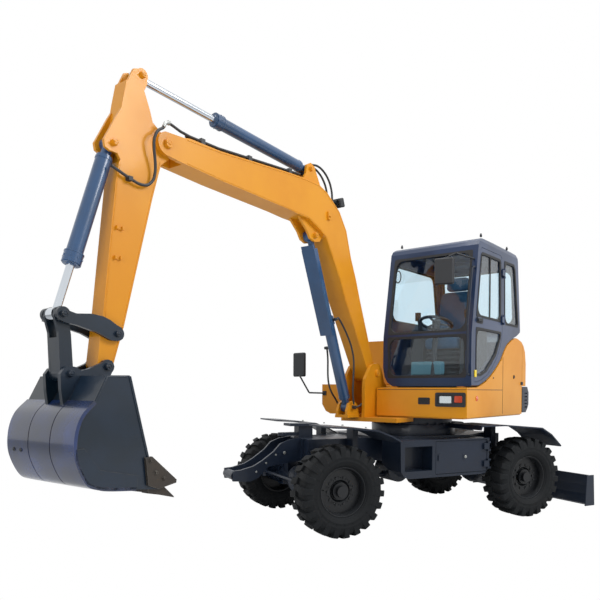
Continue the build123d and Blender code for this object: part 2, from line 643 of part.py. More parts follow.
pane_t = 8.0
glass = []
for z0, z1 in ((1925.2, 2734.8), (1470.2, 1889.8)):
    heights = [z0] + [z for z in (1600.0,) if z0 < z < z1] + [z1]
    outer = [(windshield_x(z) - 10, z) for z in heights]
    inner = [(windshield_x(z) - 10 - pane_t, z) for z in reversed(heights)]
    glass.append(side_plate(outer + inner, cab_y0 + 60.2, cab_y1 - 60.2))
glass.append(inset_pane(rear_window, cab_y1 - 10, pane_t))
glass.append(inset_pane(right_window, cab_y0 + 10 + pane_t, pane_t))
rear_run = (880 - 787) / (2800 - 2030)
back_face = [(-880 + (z - 2030) * rear_run + 10, z) for z in (2085.2, 2719.8)]
glass.append(side_plate([back_face[0], back_face[1], (back_face[1][0] + pane_t, back_face[1][1]),
                         (back_face[0][0] + pane_t, back_face[0][1])], cab_y0 + 70.2, cab_y1 - 70.2))
save("cab_glass", upper_part(solids_of(*glass)))

door = side_plate(door_line, cab_y1 - 31, cab_y1 - 1)
door -= side_plate(upper_pane, cab_y1 - 60, cab_y1 + 10)
door -= side_plate(lower_pane, cab_y1 - 60, cab_y1 + 10)
door += block(250, 335, cab_y1 - 20, cab_y1 + 12, 2028, 2068)
door = fuse(door, *[turning for fixed, turning in door_hinges])
save("door", upper_part(door))
door_glass = solids_of(inset_pane(upper_pane, cab_y1 - 12, pane_t), inset_pane(lower_pane, cab_y1 - 12, pane_t))
save("door_glass", upper_part(door_glass))

cab_mid = (cab_y0 + cab_y1) / 2
inside = cab_block(cab_wall + 0.3)
seat_box = block(-330, 120, cab_mid - 190, cab_mid + 190, 1380, 1780) & inside
seat = Pos(-60, cab_mid, 1845) * chamfer(Box(430, 418, 130).edges(), 30)
back = Pos(-262, cab_mid, 2170) * Rot(Y=-8) * chamfer(Box(120, 410, 560).edges(), 30)
rest = Pos(-300, cab_mid, 2520) * Rot(Y=-8) * chamfer(Box(90, 260, 150).edges(), 26)
save("seat", upper_part(fuse(seat_box, seat, back, rest) & inside))

controls = block(250, 330, cab_mid - 50, cab_mid + 50, 1380, 1480) & inside
controls += rod_between((290, cab_mid, 1460), (235, cab_mid, 1985), 28)
wheel_plane = Plane(origin=(228, cab_mid, 2040), z_dir=(-0.35, 0, 1))
controls += rod_between((235, cab_mid, 1980), (228, cab_mid, 2045), 40)
controls += wheel_plane * revolve(Plane.XZ * Pos(165, 0) * RegularPolygon(14, 6), axis=Axis.Z)
for angle in (0, 120, 240):
    controls += wheel_plane * Rot(Z=angle) * Pos(85, 0, 0) * Box(160, 24, 12)
for side in (-1, 1):
    y = cab_mid + side * 290
    controls += block(-240, 110, y - 75, y + 75, 1380, 1990) & inside
    controls += rod_between((40, y, 1980), (90, y, 2130), 13)
    controls += Pos(93, y, 2140) * Box(46, 46, 90)
save("controls", upper_part(controls))

mirror_left = Pos(640, 690, 2490) * Rot(Z=12) * chamfer(Box(50, 190, 255).edges(), 12)
mirror_arm = rod_between((300, cab_y1 - 25, 2640), (600, 790, 2660), 9)
mirror_arm += rod_between((600, 790, 2660), (640, 690, 2610), 9)
mirror_right = Pos(690, -1085, 1620) * Rot(Z=-12) * chamfer(Box(50, 190, 270).edges(), 12)
stalk = rod_between((500.3, -870, 1300), (620, -1000, 1304), 9)
stalk += rod_between((620, -1000, 1304), (690, -1085, 1500), 9)
stalk += block(500.3, 508, -895, -845, 1275, 1325)
stalk -= block(400, 500.3, -1000, -800, 1200, 1400)
cab_bulk = Pos(0, cab_y1 + 0.3, 0) * Rot(X=90) * extrude(offset(cab_flat, amount=0.3), cab_y1 - cab_y0 + 0.6)
save("mirrors", upper_part(solids_of(mirror_left + mirror_arm - cab_bulk, mirror_right + stalk)))

rail_y = cab_y1 - 22
grab = rod_between((350, rail_y, 2560), (420, rail_y, 2545), 11)
grab += rod_between((420, rail_y, 2545), (512, rail_y, 1980), 11)
grab += rod_between((512, rail_y, 1980), (512, rail_y, 1500), 11)
grab += rod_between((512, rail_y, 1500), (455, rail_y, 1490), 11)
save("grab_rail", upper_part(grab - cab_bulk))

lens_fit = 0.3
lamps = block(545, 580, lamp_y0 + lens_fit, lamp_y1 - lens_fit, lamp_z0 + lens_fit, lamp_z1 - lens_fit)
lenses = []
for y0, y1, z0 in ((lamp_y0 + 30, lamp_y0 + 168, lamp_z0 + 20), (lamp_y1 - 109, lamp_y1 - 22, lamp_z0 + 30)):
    lamps -= block(568, 590, y0, y1, z0, lamp_z1 - 20)
    lenses.append(block(568.3, 577, y0 + lens_fit, y1 - lens_fit, z0 + lens_fit, lamp_z1 - 20 - lens_fit))
save("house_lamps", upper_part(solids_of(lamps, *lenses)))

# Boom

boom_line = [
    (3150, 3142), (3034, 3168), (2738, 3172), (1916, 3242), (1677, 3255), (1507, 3254), (1374, 3209), (1174, 3075),
    (1059, 2914), (978, 2664), (885, 2457), (817, 2271), (687, 1948), (565, 1644), (470, 1560), (460, 1500),
    (500, 1445), (560, 1434), (612, 1465), (693, 1600), (1069, 2232), (1158, 2417), (1279, 2611), (1390, 2790),
    (1504, 2850), (1647, 2908), (1783, 2910), (1975, 2923), (2738, 2949), (3150, 2975),
]
boom = side_plate(boom_line, arm_y - boom_half, arm_y + boom_half)
boom -= block(3085, 3400, arm_y - stick_half - 5, arm_y + stick_half + 5, 2800, 3400)
for y0, y1 in both_sides(stick_half + 5, boom_half):
    boom += side_plate([(3080, 3156), (3232, 3147), (3232, 2985), (3080, 2971)], y0, y1)
    boom += cross_bar(boom_tip, y0, y1, 82)
for y0, y1 in both_sides(42, 66):
    boom += side_plate([(1395, 2790), (1440, 2740), (1512, 2726), (1580, 2745), (1625, 2810), (1760, 2930),
                        (1420, 2930)], y0, y1)
    boom += cross_bar(bc_top, y0, y1 + 0, 60)
    boom += side_plate([(1400, 3210), (1525, 3420), (1577, 3440), (1634, 3408), (1644, 3330), (1700, 3245)], y0, y1)
boom -= cross_bar(boom_foot, arm_y - 200, arm_y + 200, 38 + pin_gap)
boom += cross_bar(boom_tip, arm_y - boom_half - 14, arm_y + boom_half + 14, 34)
boom -= cross_bar(bc_top, arm_y - 42, arm_y + 42, 50 + eye_play + 5)
boom += necked_pin(bc_top, arm_y, 88, 40, 25)
boom += cross_bar(sc_foot, arm_y - 80, arm_y + 80, 22)
hook = side_plate([(1334, 3030), (1380, 3030), (1374, 2958), (1340, 2958)], arm_y + boom_half, arm_y + boom_half + 20)
boom += hook - cross_bar((1357, 2984), arm_y, arm_y + 200, 11)
save("boom", upper_part(boom))
boom_bulk = make_face(Polyline(*boom_line, close=True))
offset_boom = Pos(0, arm_y + 200, 0) * Rot(X=90) * extrude(offset(boom_bulk, amount=0.3), 400)

lamp_box = Pos(1085, arm_y, 3195) * Rot(Y=20) * chamfer(Box(80, 150, 90).edges(), 10)
lamp_box += side_plate([(1075, 3185), (1190, 3200), (1260, 3060), (1200, 3030), (1150, 3150)], arm_y - 12, arm_y + 12)
save("boom_lamp", upper_part(lamp_box - offset_boom))

pipe_runs = []
for aside in (62, 86):
    pipe_runs.append(rod_between((1760, arm_y + aside, 3278), (2738, arm_y + aside, 3196), 9))
    pipe_runs.append(rod_between((2738, arm_y + aside, 3196), (3040, arm_y + aside, 3192), 9))
for x, z in ((1900, 3243), (2400, 3200), (2900, 3172)):
    pipe_runs.append(block(x - 20, x + 20, arm_y + 48, arm_y + 98, z - 10, z + 42))
pipes = fuse(*pipe_runs) - Pos(0, 0, 0.3) * boom
save("boom_pipes", upper_part(pipes))

elbow_line = [(1512, 3446), (1440, 3462), (1364, 3450), (1292, 3412), (1234, 3352), (1202, 3274), (1196, 3190)]
elbow_hoses = []
for aside in (-30, 30):
    run = hose([(x, arm_y + aside, z) for x, z in elbow_line], 10)
    foot = upright(1196, arm_y + aside, 3060, 3192, 15) - offset_boom
    elbow_hoses.append(run + foot)
save("boom_hoses", upper_part(solids_of(*elbow_hoses)))

# Cylinders of the arm

bc_barrel, bc_rod = cylinder_pair(bc_foot, bc_top, arm_y, 950, 55, 30, 50, 40, 25, 25 - neck_cut + eye_play)
save("boom_cyl_barrel", upper_part(bc_barrel))
bc_line = (bc_top[0] - bc_foot[0], bc_top[1] - bc_foot[1])
bc_len = math.hypot(*bc_line)
bc_dir = (bc_line[0] / bc_len, bc_line[1] / bc_len)


def along_bc(distance, aside):
    """Point in X and Z along the boom cylinder, aside to its front."""
    return (bc_foot[0] + bc_dir[0] * distance + bc_dir[1] * aside,
            bc_foot[1] + bc_dir[1] * distance - bc_dir[0] * aside)


hose_lines = [
    # side, radius where it joins the barrel, then distances along it and offsets to its front
    (1, 63.3, [(925, -46), (860, -84), (775, -116), (680, -146), (580, -166), (475, -160), (375, -128), (285, -84),
         (200, -44), (120, -14), (30, 0)]),
    (-1, 55.3, [(640, -20), (575, -10), (510, 8), (445, 34), (375, 60), (300, 78), (225, 76), (155, 52), (90, 20),
          (30, 0)]),
]
hose_y = 100.0
barrel_hoses = []
swivels = []
for side, seat_r, line in hose_lines:
    y = arm_y + side * hose_y
    route = []
    for distance, aside in line:
        x, z = along_bc(distance, aside)
        route.append((x, y, z))
    x, z = along_bc(line[0][0], 0)
    port = rod_between((x, arm_y + side * 40, z), (x, y + side * 9, z), 15) + rod_between((x, y, z), route[0], 12)
    port -= rod_between((bc_foot[0], arm_y, bc_foot[1]), (bc_top[0], arm_y, bc_top[1]), seat_r)
    barrel_hoses.append(hose(route, 9) + port)
    y0, y1 = sorted((arm_y + side * 80.3, arm_y + side * (hose_y + 12)))
    swivel = cross_bar(bc_foot, y0, y1, 18)
    swivel += hose([(bc_foot[0], y, bc_foot[1]), (847, y, 1163), (803, y, 1173), (757, y, 1186)], 9)
    y0, y1 = sorted((y - side * 14, y + side * 9.7))
    swivels.append(swivel + cross_bar((757, 1186), y0, y1, 15))
save("boom_cyl_hoses", upper_part(solids_of(*barrel_hoses)))
save("house_hoses", upper_part(solids_of(*swivels)))

guard = side_plate([along_bc(785, 72), along_bc(bc_len - 78, 72), along_bc(bc_len - 78, 64),
                    along_bc(785, 64)], arm_y - 72, arm_y + 72)
for y0, y1 in both_sides(67, 75):
    guard += side_plate([along_bc(785, 72), along_bc(bc_len - 115, 72), along_bc(bc_len - 115, 20),
                         along_bc(785, 20)], y0, y1)
guard += side_plate([along_bc(bc_len - 170, 70), along_bc(bc_len - 110, 70), along_bc(bc_len - 110, 10),
                     along_bc(bc_len - 170, 10)], arm_y - 38, arm_y + 38)
save("boom_cyl_rod", upper_part(bc_rod + guard))

sc_barrel, sc_rod = cylinder_pair(sc_foot, sc_top, arm_y, 1130, 50, 26, 46, 36, 22, 22 - neck_cut + eye_play)
save("stick_cyl_barrel", upper_part(sc_barrel))
save("stick_cyl_rod", upper_part(sc_rod))

kc_barrel, kc_rod = cylinder_pair(kc_foot, link_top, arm_y, 870, 52, 25, 44, 36, 22, 22 - neck_cut + eye_play)
save("bucket_cyl_barrel", upper_part(kc_barrel))
save("bucket_cyl_rod", upper_part(kc_rod))

# Stick

stick_line = [
    (3567, 3258), (3537, 3401), (3400, 3383), (3352, 3263), (3330, 3190), (3262, 3145), (3180, 3130), (3150, 3066),
    (3180, 2990), (3262, 2915), (3335, 2661), (3567, 1751), (3652, 1480), (3680, 1430), (3740, 1430),
    (3765, 1480), (3716, 1863), (3623, 2708), (3597, 2840), (3570, 2890), (3570, 3020), (3594, 3110),
]
stick = side_plate(stick_line, arm_y - stick_half, arm_y + stick_half)
stick += cross_bar(boom_tip, arm_y - stick_half, arm_y + stick_half, 84)
for y0, y1 in both_sides(41, 63):
    stick += side_plate([(3530, 3395), (sc_top[0] + 69, sc_top[1] + 16), (sc_top[0], sc_top[1] + 42),
                         (sc_top[0] - 41, sc_top[1] + 16), (sc_top[0] - 39, sc_top[1] - 44), (3402, 3370)], y0, y1)
    stick += cross_bar(sc_top, y0, y1, 44)
for y0, y1 in both_sides(42, stick_half):
    stick += side_plate([(3560, 3230), (3610, 3143), (3667, 3032), (3708, 2954), (3700, 2908), (3665, 2892),
                         (3611, 2893), (3590, 2860), (3560, 2880)], y0, y1)
stick -= cross_bar(boom_tip, arm_y - 100, arm_y + 100, 34 + pin_gap)
stick -= cross_bar(stick_end, arm_y - 100, arm_y + 100, 26 + pin_gap)
stick -= cross_bar(guide_foot, arm_y - 100, arm_y + 100, 22 + pin_gap)
stick -= cross_bar(sc_top, arm_y - 41, arm_y + 41, 46 + eye_play + 5)
stick += necked_pin(sc_top, arm_y, 78, 36, 22)
stick += cross_bar(kc_foot, arm_y - 86, arm_y + 86, 22)
stick_face = arm_y + stick_half
for x, z in ((3601, 2402), (3616, 2203)):
    stick += block(x - 26, x + 26, stick_face, stick_face + 8, z - 11, z + 11)
    for ear_x in (x - 20, x + 20):
        stick += block(ear_x - 6, ear_x + 6, stick_face, stick_face + 20, z - 11, z + 11)
save("stick", upper_part(stick))

loop_line = [
    # x, z, distance from the side of the stick
    (3672, 2788, 24), (3604, 2764, 26), (3534, 2742, 26), (3462, 2722, 28), (3396, 2730, 30), (3350, 2778, 32),
    (3336, 2846, 36), (3344, 2916, 44), (3362, 2984, 54), (3368, 3052, 62), (3344, 3114, 66), (3292, 3152, 66),
]
stick_hose = hose([(x, stick_face + aside, z) for x, z, aside in loop_line], 10)
x, z, aside = loop_line[2]
stick_hose += block(x - 16, x + 16, stick_face + 0.3, stick_face + aside + 14, z - 14, z + 14)
save("stick_hose", upper_part(stick_hose))

# Bucket linkage

links = []
link_in = stick_half + 6
for y0, y1 in both_sides(link_in, link_in + 28):
    link = side_plate([(3602, 1738), (3645, 1757), (3690, 1784), (3742, 1803), (3825, 1811), (3924, 1802),
                       (3972, 1814), (4008, 1833), (4040, 1755), (3986, 1738), (3924, 1731), (3855, 1713),
                       (3785, 1696), (3722, 1668), (3680, 1652), (3634, 1652)], y0, y1)
    link += cross_bar(guide_foot, y0, y1, 47)
    link += cross_bar(link_top, y0, y1, 43)
    links.append(link)
links.append(cross_bar(guide_foot, arm_y - link_in - 40, arm_y + link_in + 40, 22))
links.append(necked_pin(link_top, arm_y, link_in + 40, 36, 22))
save("guide_links", upper_part(fuse(*links)))

tip_half = stick_half
tipping = []
for y0, y1 in both_sides(42, tip_half):
    tipping.append(side_plate([(3962, 1790), (3975, 1832), (4008, 1842), (4042, 1826), (4050, 1780), (4024, 1680),
                               (4014, 1430), (3928, 1430), (3942, 1670)], y0, y1))
tipping.append(side_plate([(3943, 1650), (4023, 1650), (4013, 1430), (3930, 1430)], arm_y - tip_half,
                          arm_y + tip_half))
tipping.append(cross_bar(bucket_link, arm_y - tip_half, arm_y + tip_half, 46))
tip_link = fuse(*tipping)
tip_link -= cross_bar(link_top, arm_y - 100, arm_y + 100, 22 + pin_gap)
tip_link -= cross_bar(bucket_link, arm_y - 100, arm_y + 100, 22 - neck_cut + link_play)
save("tipping_link", upper_part(tip_link))

# Bucket

bucket_line = [
    (3741, 1420), (3902, 1417), (3984, 1260), (4067, 1175), (4106, 1060), (4104, 921), (4036, 780), (3960, 742),
    (3877, 724), (3700, 705), (3517, 684), (3512, 700), (3599, 880),
]
bucket_core = [
    (3600, 1404), (3892, 1402), (3973, 1252), (4055, 1166), (4091, 1056), (4090, 925), (4026, 791), (3955, 756),
    (3875, 739), (3700, 722), (3500, 702), (3300, 702), (3300, 1404),
]
bucket = side_plate(bucket_line, arm_y - bucket_half, arm_y + bucket_half)
bucket -= side_plate(bucket_core, arm_y - bucket_half + 16, arm_y + bucket_half - 16)
heel_line = [(4103, 985), (4050, 988), (3950, 853), (3690, 792), (3694, 706), (3877, 724), (3960, 742), (4036, 780),
             (4104, 921)]
for y0, y1 in both_sides(bucket_half, bucket_half + 8):
    bucket += side_plate(heel_line, y0, y1)
shell_flat = make_face(Polyline(*bucket_line, close=True))
groove = (shell_flat - offset(shell_flat, amount=-6)) & Pos(3900, 860) * Rectangle(520, 460)
for middle in (-125, 125):
    bucket -= Pos(0, arm_y + middle + 11, 0) * Rot(X=90) * extrude(groove, 22)
ear_y = stick_half + 6
for y0, y1 in both_sides(ear_y, ear_y + 30):
    ear = side_plate([(3662, 1480), (3680, 1518), (3710, 1526), (3760, 1500), (3849, 1460), (3895, 1450),
                      (3930, 1470), (3968, 1476), (4008, 1460), (4034, 1425), (4030, 1330), (4016, 1224),
                      (3990, 1250), (3893, 1405), (3700, 1405)], y0, y1)
    ear += cross_bar(stick_end, y0, y1, 46) + cross_bar(bucket_link, y0, y1, 46)
    bucket += ear
bucket += cross_bar(stick_end, arm_y - ear_y - 44, arm_y + ear_y + 44, 26)
bucket += necked_pin(bucket_link, arm_y, ear_y + 44, tip_half, 22)
save("bucket", upper_part(bucket))

teeth = []
tooth_side = [(3600, 693.2), (3600, 665), (3510, 645), (3392, 612), (3396, 622), (3495, 715), (3510.6, 715),
              (3511.6, 700), (3516.5, 683.6)]
for number in range(5):
    y = arm_y + (number - 2) * (bucket_half - 45) / 2
    teeth.append(side_plate(tooth_side, y - 32, y + 32))
for y0, y1 in ((arm_y + bucket_half + 0.3, arm_y + bucket_half + 20),
               (arm_y - bucket_half - 20, arm_y - bucket_half - 0.3)):
    teeth.append(side_plate([(3640, 900), (3590, 905), (3396, 735), (3400, 715), (3540, 690), (3620, 720)], y0, y1))
save("bucket_teeth", upper_part(solids_of(*teeth)))

for name, shape in pieces.items():
    shape.label = name
    export_step(shape, os.path.join("parts", name + ".step"))

low = [1e9] * 3
high = [-1e9] * 3
for shape in pieces.values():
    box = shape.bounding_box()
    low = [min(a, b) for a, b in zip(low, (box.min.X, box.min.Y, box.min.Z))]
    high = [max(a, b) for a, b in zip(high, (box.max.X, box.max.Y, box.max.Z))]
print("box", [round(v, 1) for v in low], [round(v, 1) for v in high])
print("pieces", len(pieces))
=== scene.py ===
# Wheeled excavator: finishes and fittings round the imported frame, in metres.
import math

import bmesh
import bpy
import numpy as np
from mathutils import Matrix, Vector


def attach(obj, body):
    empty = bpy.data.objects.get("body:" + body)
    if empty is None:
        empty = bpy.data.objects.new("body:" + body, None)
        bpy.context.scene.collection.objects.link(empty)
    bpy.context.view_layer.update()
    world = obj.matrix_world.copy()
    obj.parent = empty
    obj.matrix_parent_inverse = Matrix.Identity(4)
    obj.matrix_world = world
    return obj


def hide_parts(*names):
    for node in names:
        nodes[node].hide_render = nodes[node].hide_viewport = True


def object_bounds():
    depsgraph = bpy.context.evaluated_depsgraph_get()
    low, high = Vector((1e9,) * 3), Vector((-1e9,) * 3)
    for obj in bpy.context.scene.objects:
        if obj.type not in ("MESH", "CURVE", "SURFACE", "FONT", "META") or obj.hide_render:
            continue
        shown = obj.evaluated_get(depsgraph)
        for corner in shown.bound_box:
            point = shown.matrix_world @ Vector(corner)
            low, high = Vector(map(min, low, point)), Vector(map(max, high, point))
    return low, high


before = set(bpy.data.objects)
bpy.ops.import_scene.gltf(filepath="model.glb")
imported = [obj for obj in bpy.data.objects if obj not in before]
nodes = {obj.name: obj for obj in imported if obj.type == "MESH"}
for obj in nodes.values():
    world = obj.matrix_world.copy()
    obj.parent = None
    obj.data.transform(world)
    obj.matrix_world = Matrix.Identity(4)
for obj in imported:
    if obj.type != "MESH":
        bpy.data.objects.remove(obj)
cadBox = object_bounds()
print("frame loaded,", len(nodes), "nodes")

# Two drawing frames: the chassis one has its origin between the wheels, the upper one on the slew axis.
drawing = dict(originX=-0.844, originY=-0.319, slewBehind=0.240, slewDegrees=27.0, armY=-0.285)
armY = drawing["armY"]


def inChassis(points):
    # moves points by the origin's offset
    return np.asarray(points, float) + (drawing["originX"], drawing["originY"], 0.0)


def spun(points, degrees, centre):
    # turns points about Z, then moves them: x' = x cos - y sin, y' = x sin + y cos
    turn = math.radians(degrees)
    points = np.asarray(points, float)
    x = points[..., 0] * math.cos(turn) - points[..., 1] * math.sin(turn)
    y = points[..., 0] * math.sin(turn) + points[..., 1] * math.cos(turn)
    return np.stack((x, y, points[..., 2]), axis=-1) + centre


def inUpper(points):
    # turns points about the slew axis, then moves them to it
    axisX = drawing["originX"] - drawing["slewBehind"]
    return spun(points, drawing["slewDegrees"], (axisX, drawing["originY"], 0.0))


# Surfaces

def unit(vectors):
    # each vector divided by its own length
    return vectors / np.linalg.norm(vectors, axis=-1, keepdims=True)


def surface(grid, wrapRows=False, wrapColumns=False, capRows=False):
    # quads between neighbouring rows and columns of a grid of points; capped rows close the two end rings
    rows, columns = grid.shape[:2]
    number = np.arange(rows * columns).reshape(rows, columns)
    caps = [number[0][::-1], number[-1]] if capRows else []
    if wrapRows:
        number = np.vstack((number, number[:1]))
    if wrapColumns:
        number = np.hstack((number, number[:, :1]))
    quads = np.stack((number[:-1, :-1], number[:-1, 1:], number[1:, 1:], number[1:, :-1]), axis=-1)
    return dict(points=grid.reshape(-1, 3), quads=quads.reshape(-1, 4), caps=caps)


def tube(grid):
    # each row a closed ring, the two end rings capped
    return surface(grid, wrapColumns=True, capRows=True)


def together(shapes):
    # one shape from several, their point numbers moved up past those before them
    starts = np.cumsum([0] + [len(shape["points"]) for shape in shapes])
    return dict(points=np.vstack([shape["points"] for shape in shapes]),
                quads=np.vstack([shape["quads"] + start for shape, start in zip(shapes, starts)]),
                caps=[cap + start for shape, start in zip(shapes, starts) for cap in shape["caps"]])


def piece(name, shape, body, material, slot, smoothBelow=32.0):
    # a mesh object in place, its faces turned outwards, riding on its body
    mesh = bpy.data.meshes.new(name)
    faces = shape["quads"].tolist() + [cap.tolist() for cap in shape["caps"]]
    mesh.from_pydata(shape["points"], [], faces)
    solid = bmesh.new()
    solid.from_mesh(mesh)
    bmesh.ops.recalc_face_normals(solid, faces=solid.faces)
    solid.to_mesh(mesh)
    solid.free()
    mesh.shade_smooth()
    mesh.set_sharp_from_angle(angle=math.radians(smoothBelow))
    made = bpy.data.objects.new(name, mesh)
    bpy.context.scene.collection.objects.link(made)
    made.data.materials.append(material)
    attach(made, body)
    return made


def aboutLine(start, run, side, profile, steps):
    # a profile of (distance, radius) pairs turned about a line: start + d run + r (side cos t + up sin t)
    profile, up, ring = np.asarray(profile, float), np.cross(run, side), circle(1.0, steps)
    spokes = ring[None, :, :1] * side + ring[None, :, 1:] * up
    grid = start + profile[:, 0, None, None] * run + profile[:, 1, None, None] * spokes
    return tube(grid)


def turned(profile, centre, axis="y", steps=48):
    # a profile turned about X, Y or Z through a point, by the formula of aboutLine
    number = "xyz".index(axis)
    run, side = np.eye(3)[[number, (number + 1) % 3]]
    return aboutLine(centre, run, side, profile, steps)


def button(centre, axis, radius, height, bevel=0.0015, steps=24):
    # a short boss with a bevelled rim, many-sided when its steps are few; height may be negative
    sign, sunk = math.copysign(1, height), 0.002
    profile = [(-sign * sunk, radius), (height - sign * bevel, radius), (height, radius - bevel)]
    return turned(profile, centre, axis, steps)


def carried(section, path, across=(0, 1, 0), closed=False):
    # a closed section carried along a path: its first axis lies along 'across', its second square to both
    section, path, across = np.asarray(section, float), np.asarray(path, float), np.asarray(across, float)
    if closed:
        ahead = np.roll(path, -1, axis=0) - np.roll(path, 1, axis=0)
    else:
        ahead = np.gradient(path, axis=0)
    ahead = unit(ahead)
    side = unit(across - (ahead @ across)[:, None] * ahead)
    up = np.cross(ahead, side)
    grid = path[:, None] + section[:, 0, None] * side[:, None] + section[:, 1, None] * up[:, None]
    return surface(grid, wrapRows=closed, wrapColumns=True, capRows=not closed)


def circle(radius, steps=12):
    # points of a circle: x = r cos t, y = r sin t
    angle = np.linspace(0, 2 * math.pi, steps, endpoint=False)
    return np.stack((radius * np.cos(angle), radius * np.sin(angle)), axis=-1)


def rounded(corners, radius, steps=8):
    # outline whose corners are arcs tangent to both sides: each runs from one touching point to the other
    corners = np.asarray(corners, float)
    before, after = np.roll(corners, 1, axis=0) - corners, np.roll(corners, -1, axis=0) - corners
    shorter = np.minimum(*(np.linalg.norm(side, axis=1, keepdims=True) for side in (before, after)))
    before, after = unit(before), unit(after)
    half = np.arccos(np.clip((before * after).sum(axis=1, keepdims=True), -1, 1)) / 2
    radius = np.minimum(radius, 0.49 * shorter * np.tan(half))
    centre = corners + unit(before + after) * (radius / np.sin(half))
    start, end = (corners + side * (radius / np.tan(half)) - centre for side in (before, after))
    share = np.linspace(0, 1, steps)[None, :, None]
    sweep = (math.pi - 2 * half)[:, None]
    arc = start[:, None] * np.sin((1 - share) * sweep) + end[:, None] * np.sin(share * sweep)
    return (centre[:, None] + arc / np.sin(sweep)).reshape(-1, 2)


def rectangle(x0, x1, y0, y1):
    # the four corners, anticlockwise
    return np.array(((x0, y0), (x1, y0), (x1, y1), (x0, y1)))


def roundedBox(x0, x1, y0, y1, corner):
    # a rectangle whose corners are arcs of one radius
    return rounded(rectangle(x0, x1, y0, y1), corner)


def inset(corners, amount):
    # each side moved inwards by the amount, and neighbours cut with each other again
    corners = np.asarray(corners, float)
    run = unit(np.roll(corners, -1, axis=0) - corners)
    area = np.cross(corners, np.roll(corners, -1, axis=0)).sum()
    normal = np.stack((-run[:, 1], run[:, 0]), axis=-1) * math.copysign(1, area)
    before = np.roll(normal, 1, axis=0)
    joint = before + normal
    return corners + joint * amount / (joint * normal).sum(axis=1, keepdims=True)


def plate(outline, place, near, far, bevel=0.0015):
    # a flat outline carried from one depth to another, its far edge bevelled
    inner = inset(outline, bevel)
    loops = [place(outline, near), place(outline, far - math.copysign(bevel, far - near)), place(inner, far)]
    return tube(np.stack(loops))


def trimRing(outer, inner, place, back, front):
    # a closed ring between two loops of as many points, standing from the back depth to the front depth
    lip = inner * 0.94 + outer * 0.06
    step = back + (front - back) * 0.4
    ends = ((outer, back), (outer, front), (lip, front), (inner, step), (inner, back))
    loops = [place(loop, depth) for loop, depth in ends]
    return surface(np.stack(loops), wrapRows=True, wrapColumns=True)


def standing(loop, depth):
    # outline in X and Z at a distance along Y
    return np.stack((loop[:, 0], np.full(len(loop), depth), loop[:, 1]), axis=-1)


def facing(loop, depth):
    # outline in Y and Z at a distance along X
    return np.stack((np.full(len(loop), depth), loop[:, 0], loop[:, 1]), axis=-1)


def sideways(loop, depth):
    # a standing outline, turned and moved with the upper body
    return inUpper(standing(loop, depth))


def onHouseFront(loop, depth):
    # a facing outline, turned and moved with the upper body
    return inUpper(facing(loop, depth))


# Shader trees

def feed(tree, node, values):
    # values set on a node's inputs by name or number, or sockets linked to them
    for label, value in values.items():
        if isinstance(value, bpy.types.NodeSocket):
            tree.links.new(value, node.inputs[label])
        else:
            node.inputs[label].default_value = value
    return node


def shaderNode(tree, kind, values=None):
    return feed(tree, tree.nodes.new("ShaderNode" + kind), values or {})


def mathNode(tree, operation, *values, clamp=False):
    made = shaderNode(tree, "Math")
    made.operation, made.use_clamp = operation, clamp
    return feed(tree, made, dict(enumerate(values))).outputs[0]


def blended(tree, share, first, second, end):
    # two shaders mixed and led to the output node
    mix = shaderNode(tree, "MixShader", {0: share, 1: first.outputs[0], 2: second.outputs[0]})
    feed(tree, tree.nodes[end], {"Surface": mix.outputs[0]})


def newMaterial(name):
    material = bpy.data.materials.new(name)
    material.use_nodes = True
    return material, material.node_tree, material.node_tree.nodes["Principled BSDF"]


# Camera, floor and light

camera = dict(place=(2.7833, 5.4563, 1.3355), yaw=-117.4543, pitch=-1.3789, roll=0.2892, lens=36.912,
              shiftX=-0.07467, shiftY=0.17483)


def placed(name, data, axes, place):
    # an object whose three axes and place are given
    made = bpy.data.objects.new(name, data)
    turn = np.eye(4)
    turn[:3] = np.column_stack((*axes, place))
    made.matrix_world = Matrix(turn.tolist())
    bpy.context.scene.collection.objects.link(made)
    return made


def aimCamera(settings):
    # ahead = (cos pitch cos yaw, cos pitch sin yaw, sin pitch); right and up are rolled about it
    yaw, pitch, roll = (math.radians(settings[key]) for key in ("yaw", "pitch", "roll"))
    ahead = np.array((math.cos(pitch) * math.cos(yaw), math.cos(pitch) * math.sin(yaw), math.sin(pitch)))
    right = np.array((math.sin(yaw), -math.cos(yaw), 0.0))
    up = np.cross(right, ahead)
    rolledRight = right * math.cos(roll) + up * math.sin(roll)
    rolledUp = up * math.cos(roll) - right * math.sin(roll)
    data = bpy.data.cameras.new("camera")
    data.lens, data.shift_x, data.shift_y = settings["lens"], settings["shiftX"], settings["shiftY"]
    data.clip_end = 200
    bpy.context.scene.camera = placed("camera", data, (rolledRight, rolledUp, -ahead), settings["place"])


def softLight(name, place, target, size, power):
    # a round area lamp whose back axis runs from the target to its place
    data = bpy.data.lights.new(name, "AREA")
    data.shape, data.size, data.energy = "DISK", size, power
    back = unit(np.array(place, float) - target)
    side = unit(np.cross((0, 0, 1), back))
    placed(name, data, (side, np.cross(back, side), back), place)


lights = [
    # name, place, aimed at, size, watts
    ("keyLight", (-5.0, 6.0, 7.5), (0, 0, 1.2), 4.5, 560),
    ("topLight", (1.0, 1.0, 9.0), (0, 0, 1.5), 5.0, 260),
    ("fillLight", (7.0, 6.0, 3.0), (0.5, 0, 1.4), 4.0, 170),
]
studio = dict(ambient=0.40, floorColour=(0.86, 0.87, 0.88, 1), floorSize=60.0, floorWhite=1.00,
              floorBelow=0.0002, white=(1, 1, 1, 1))


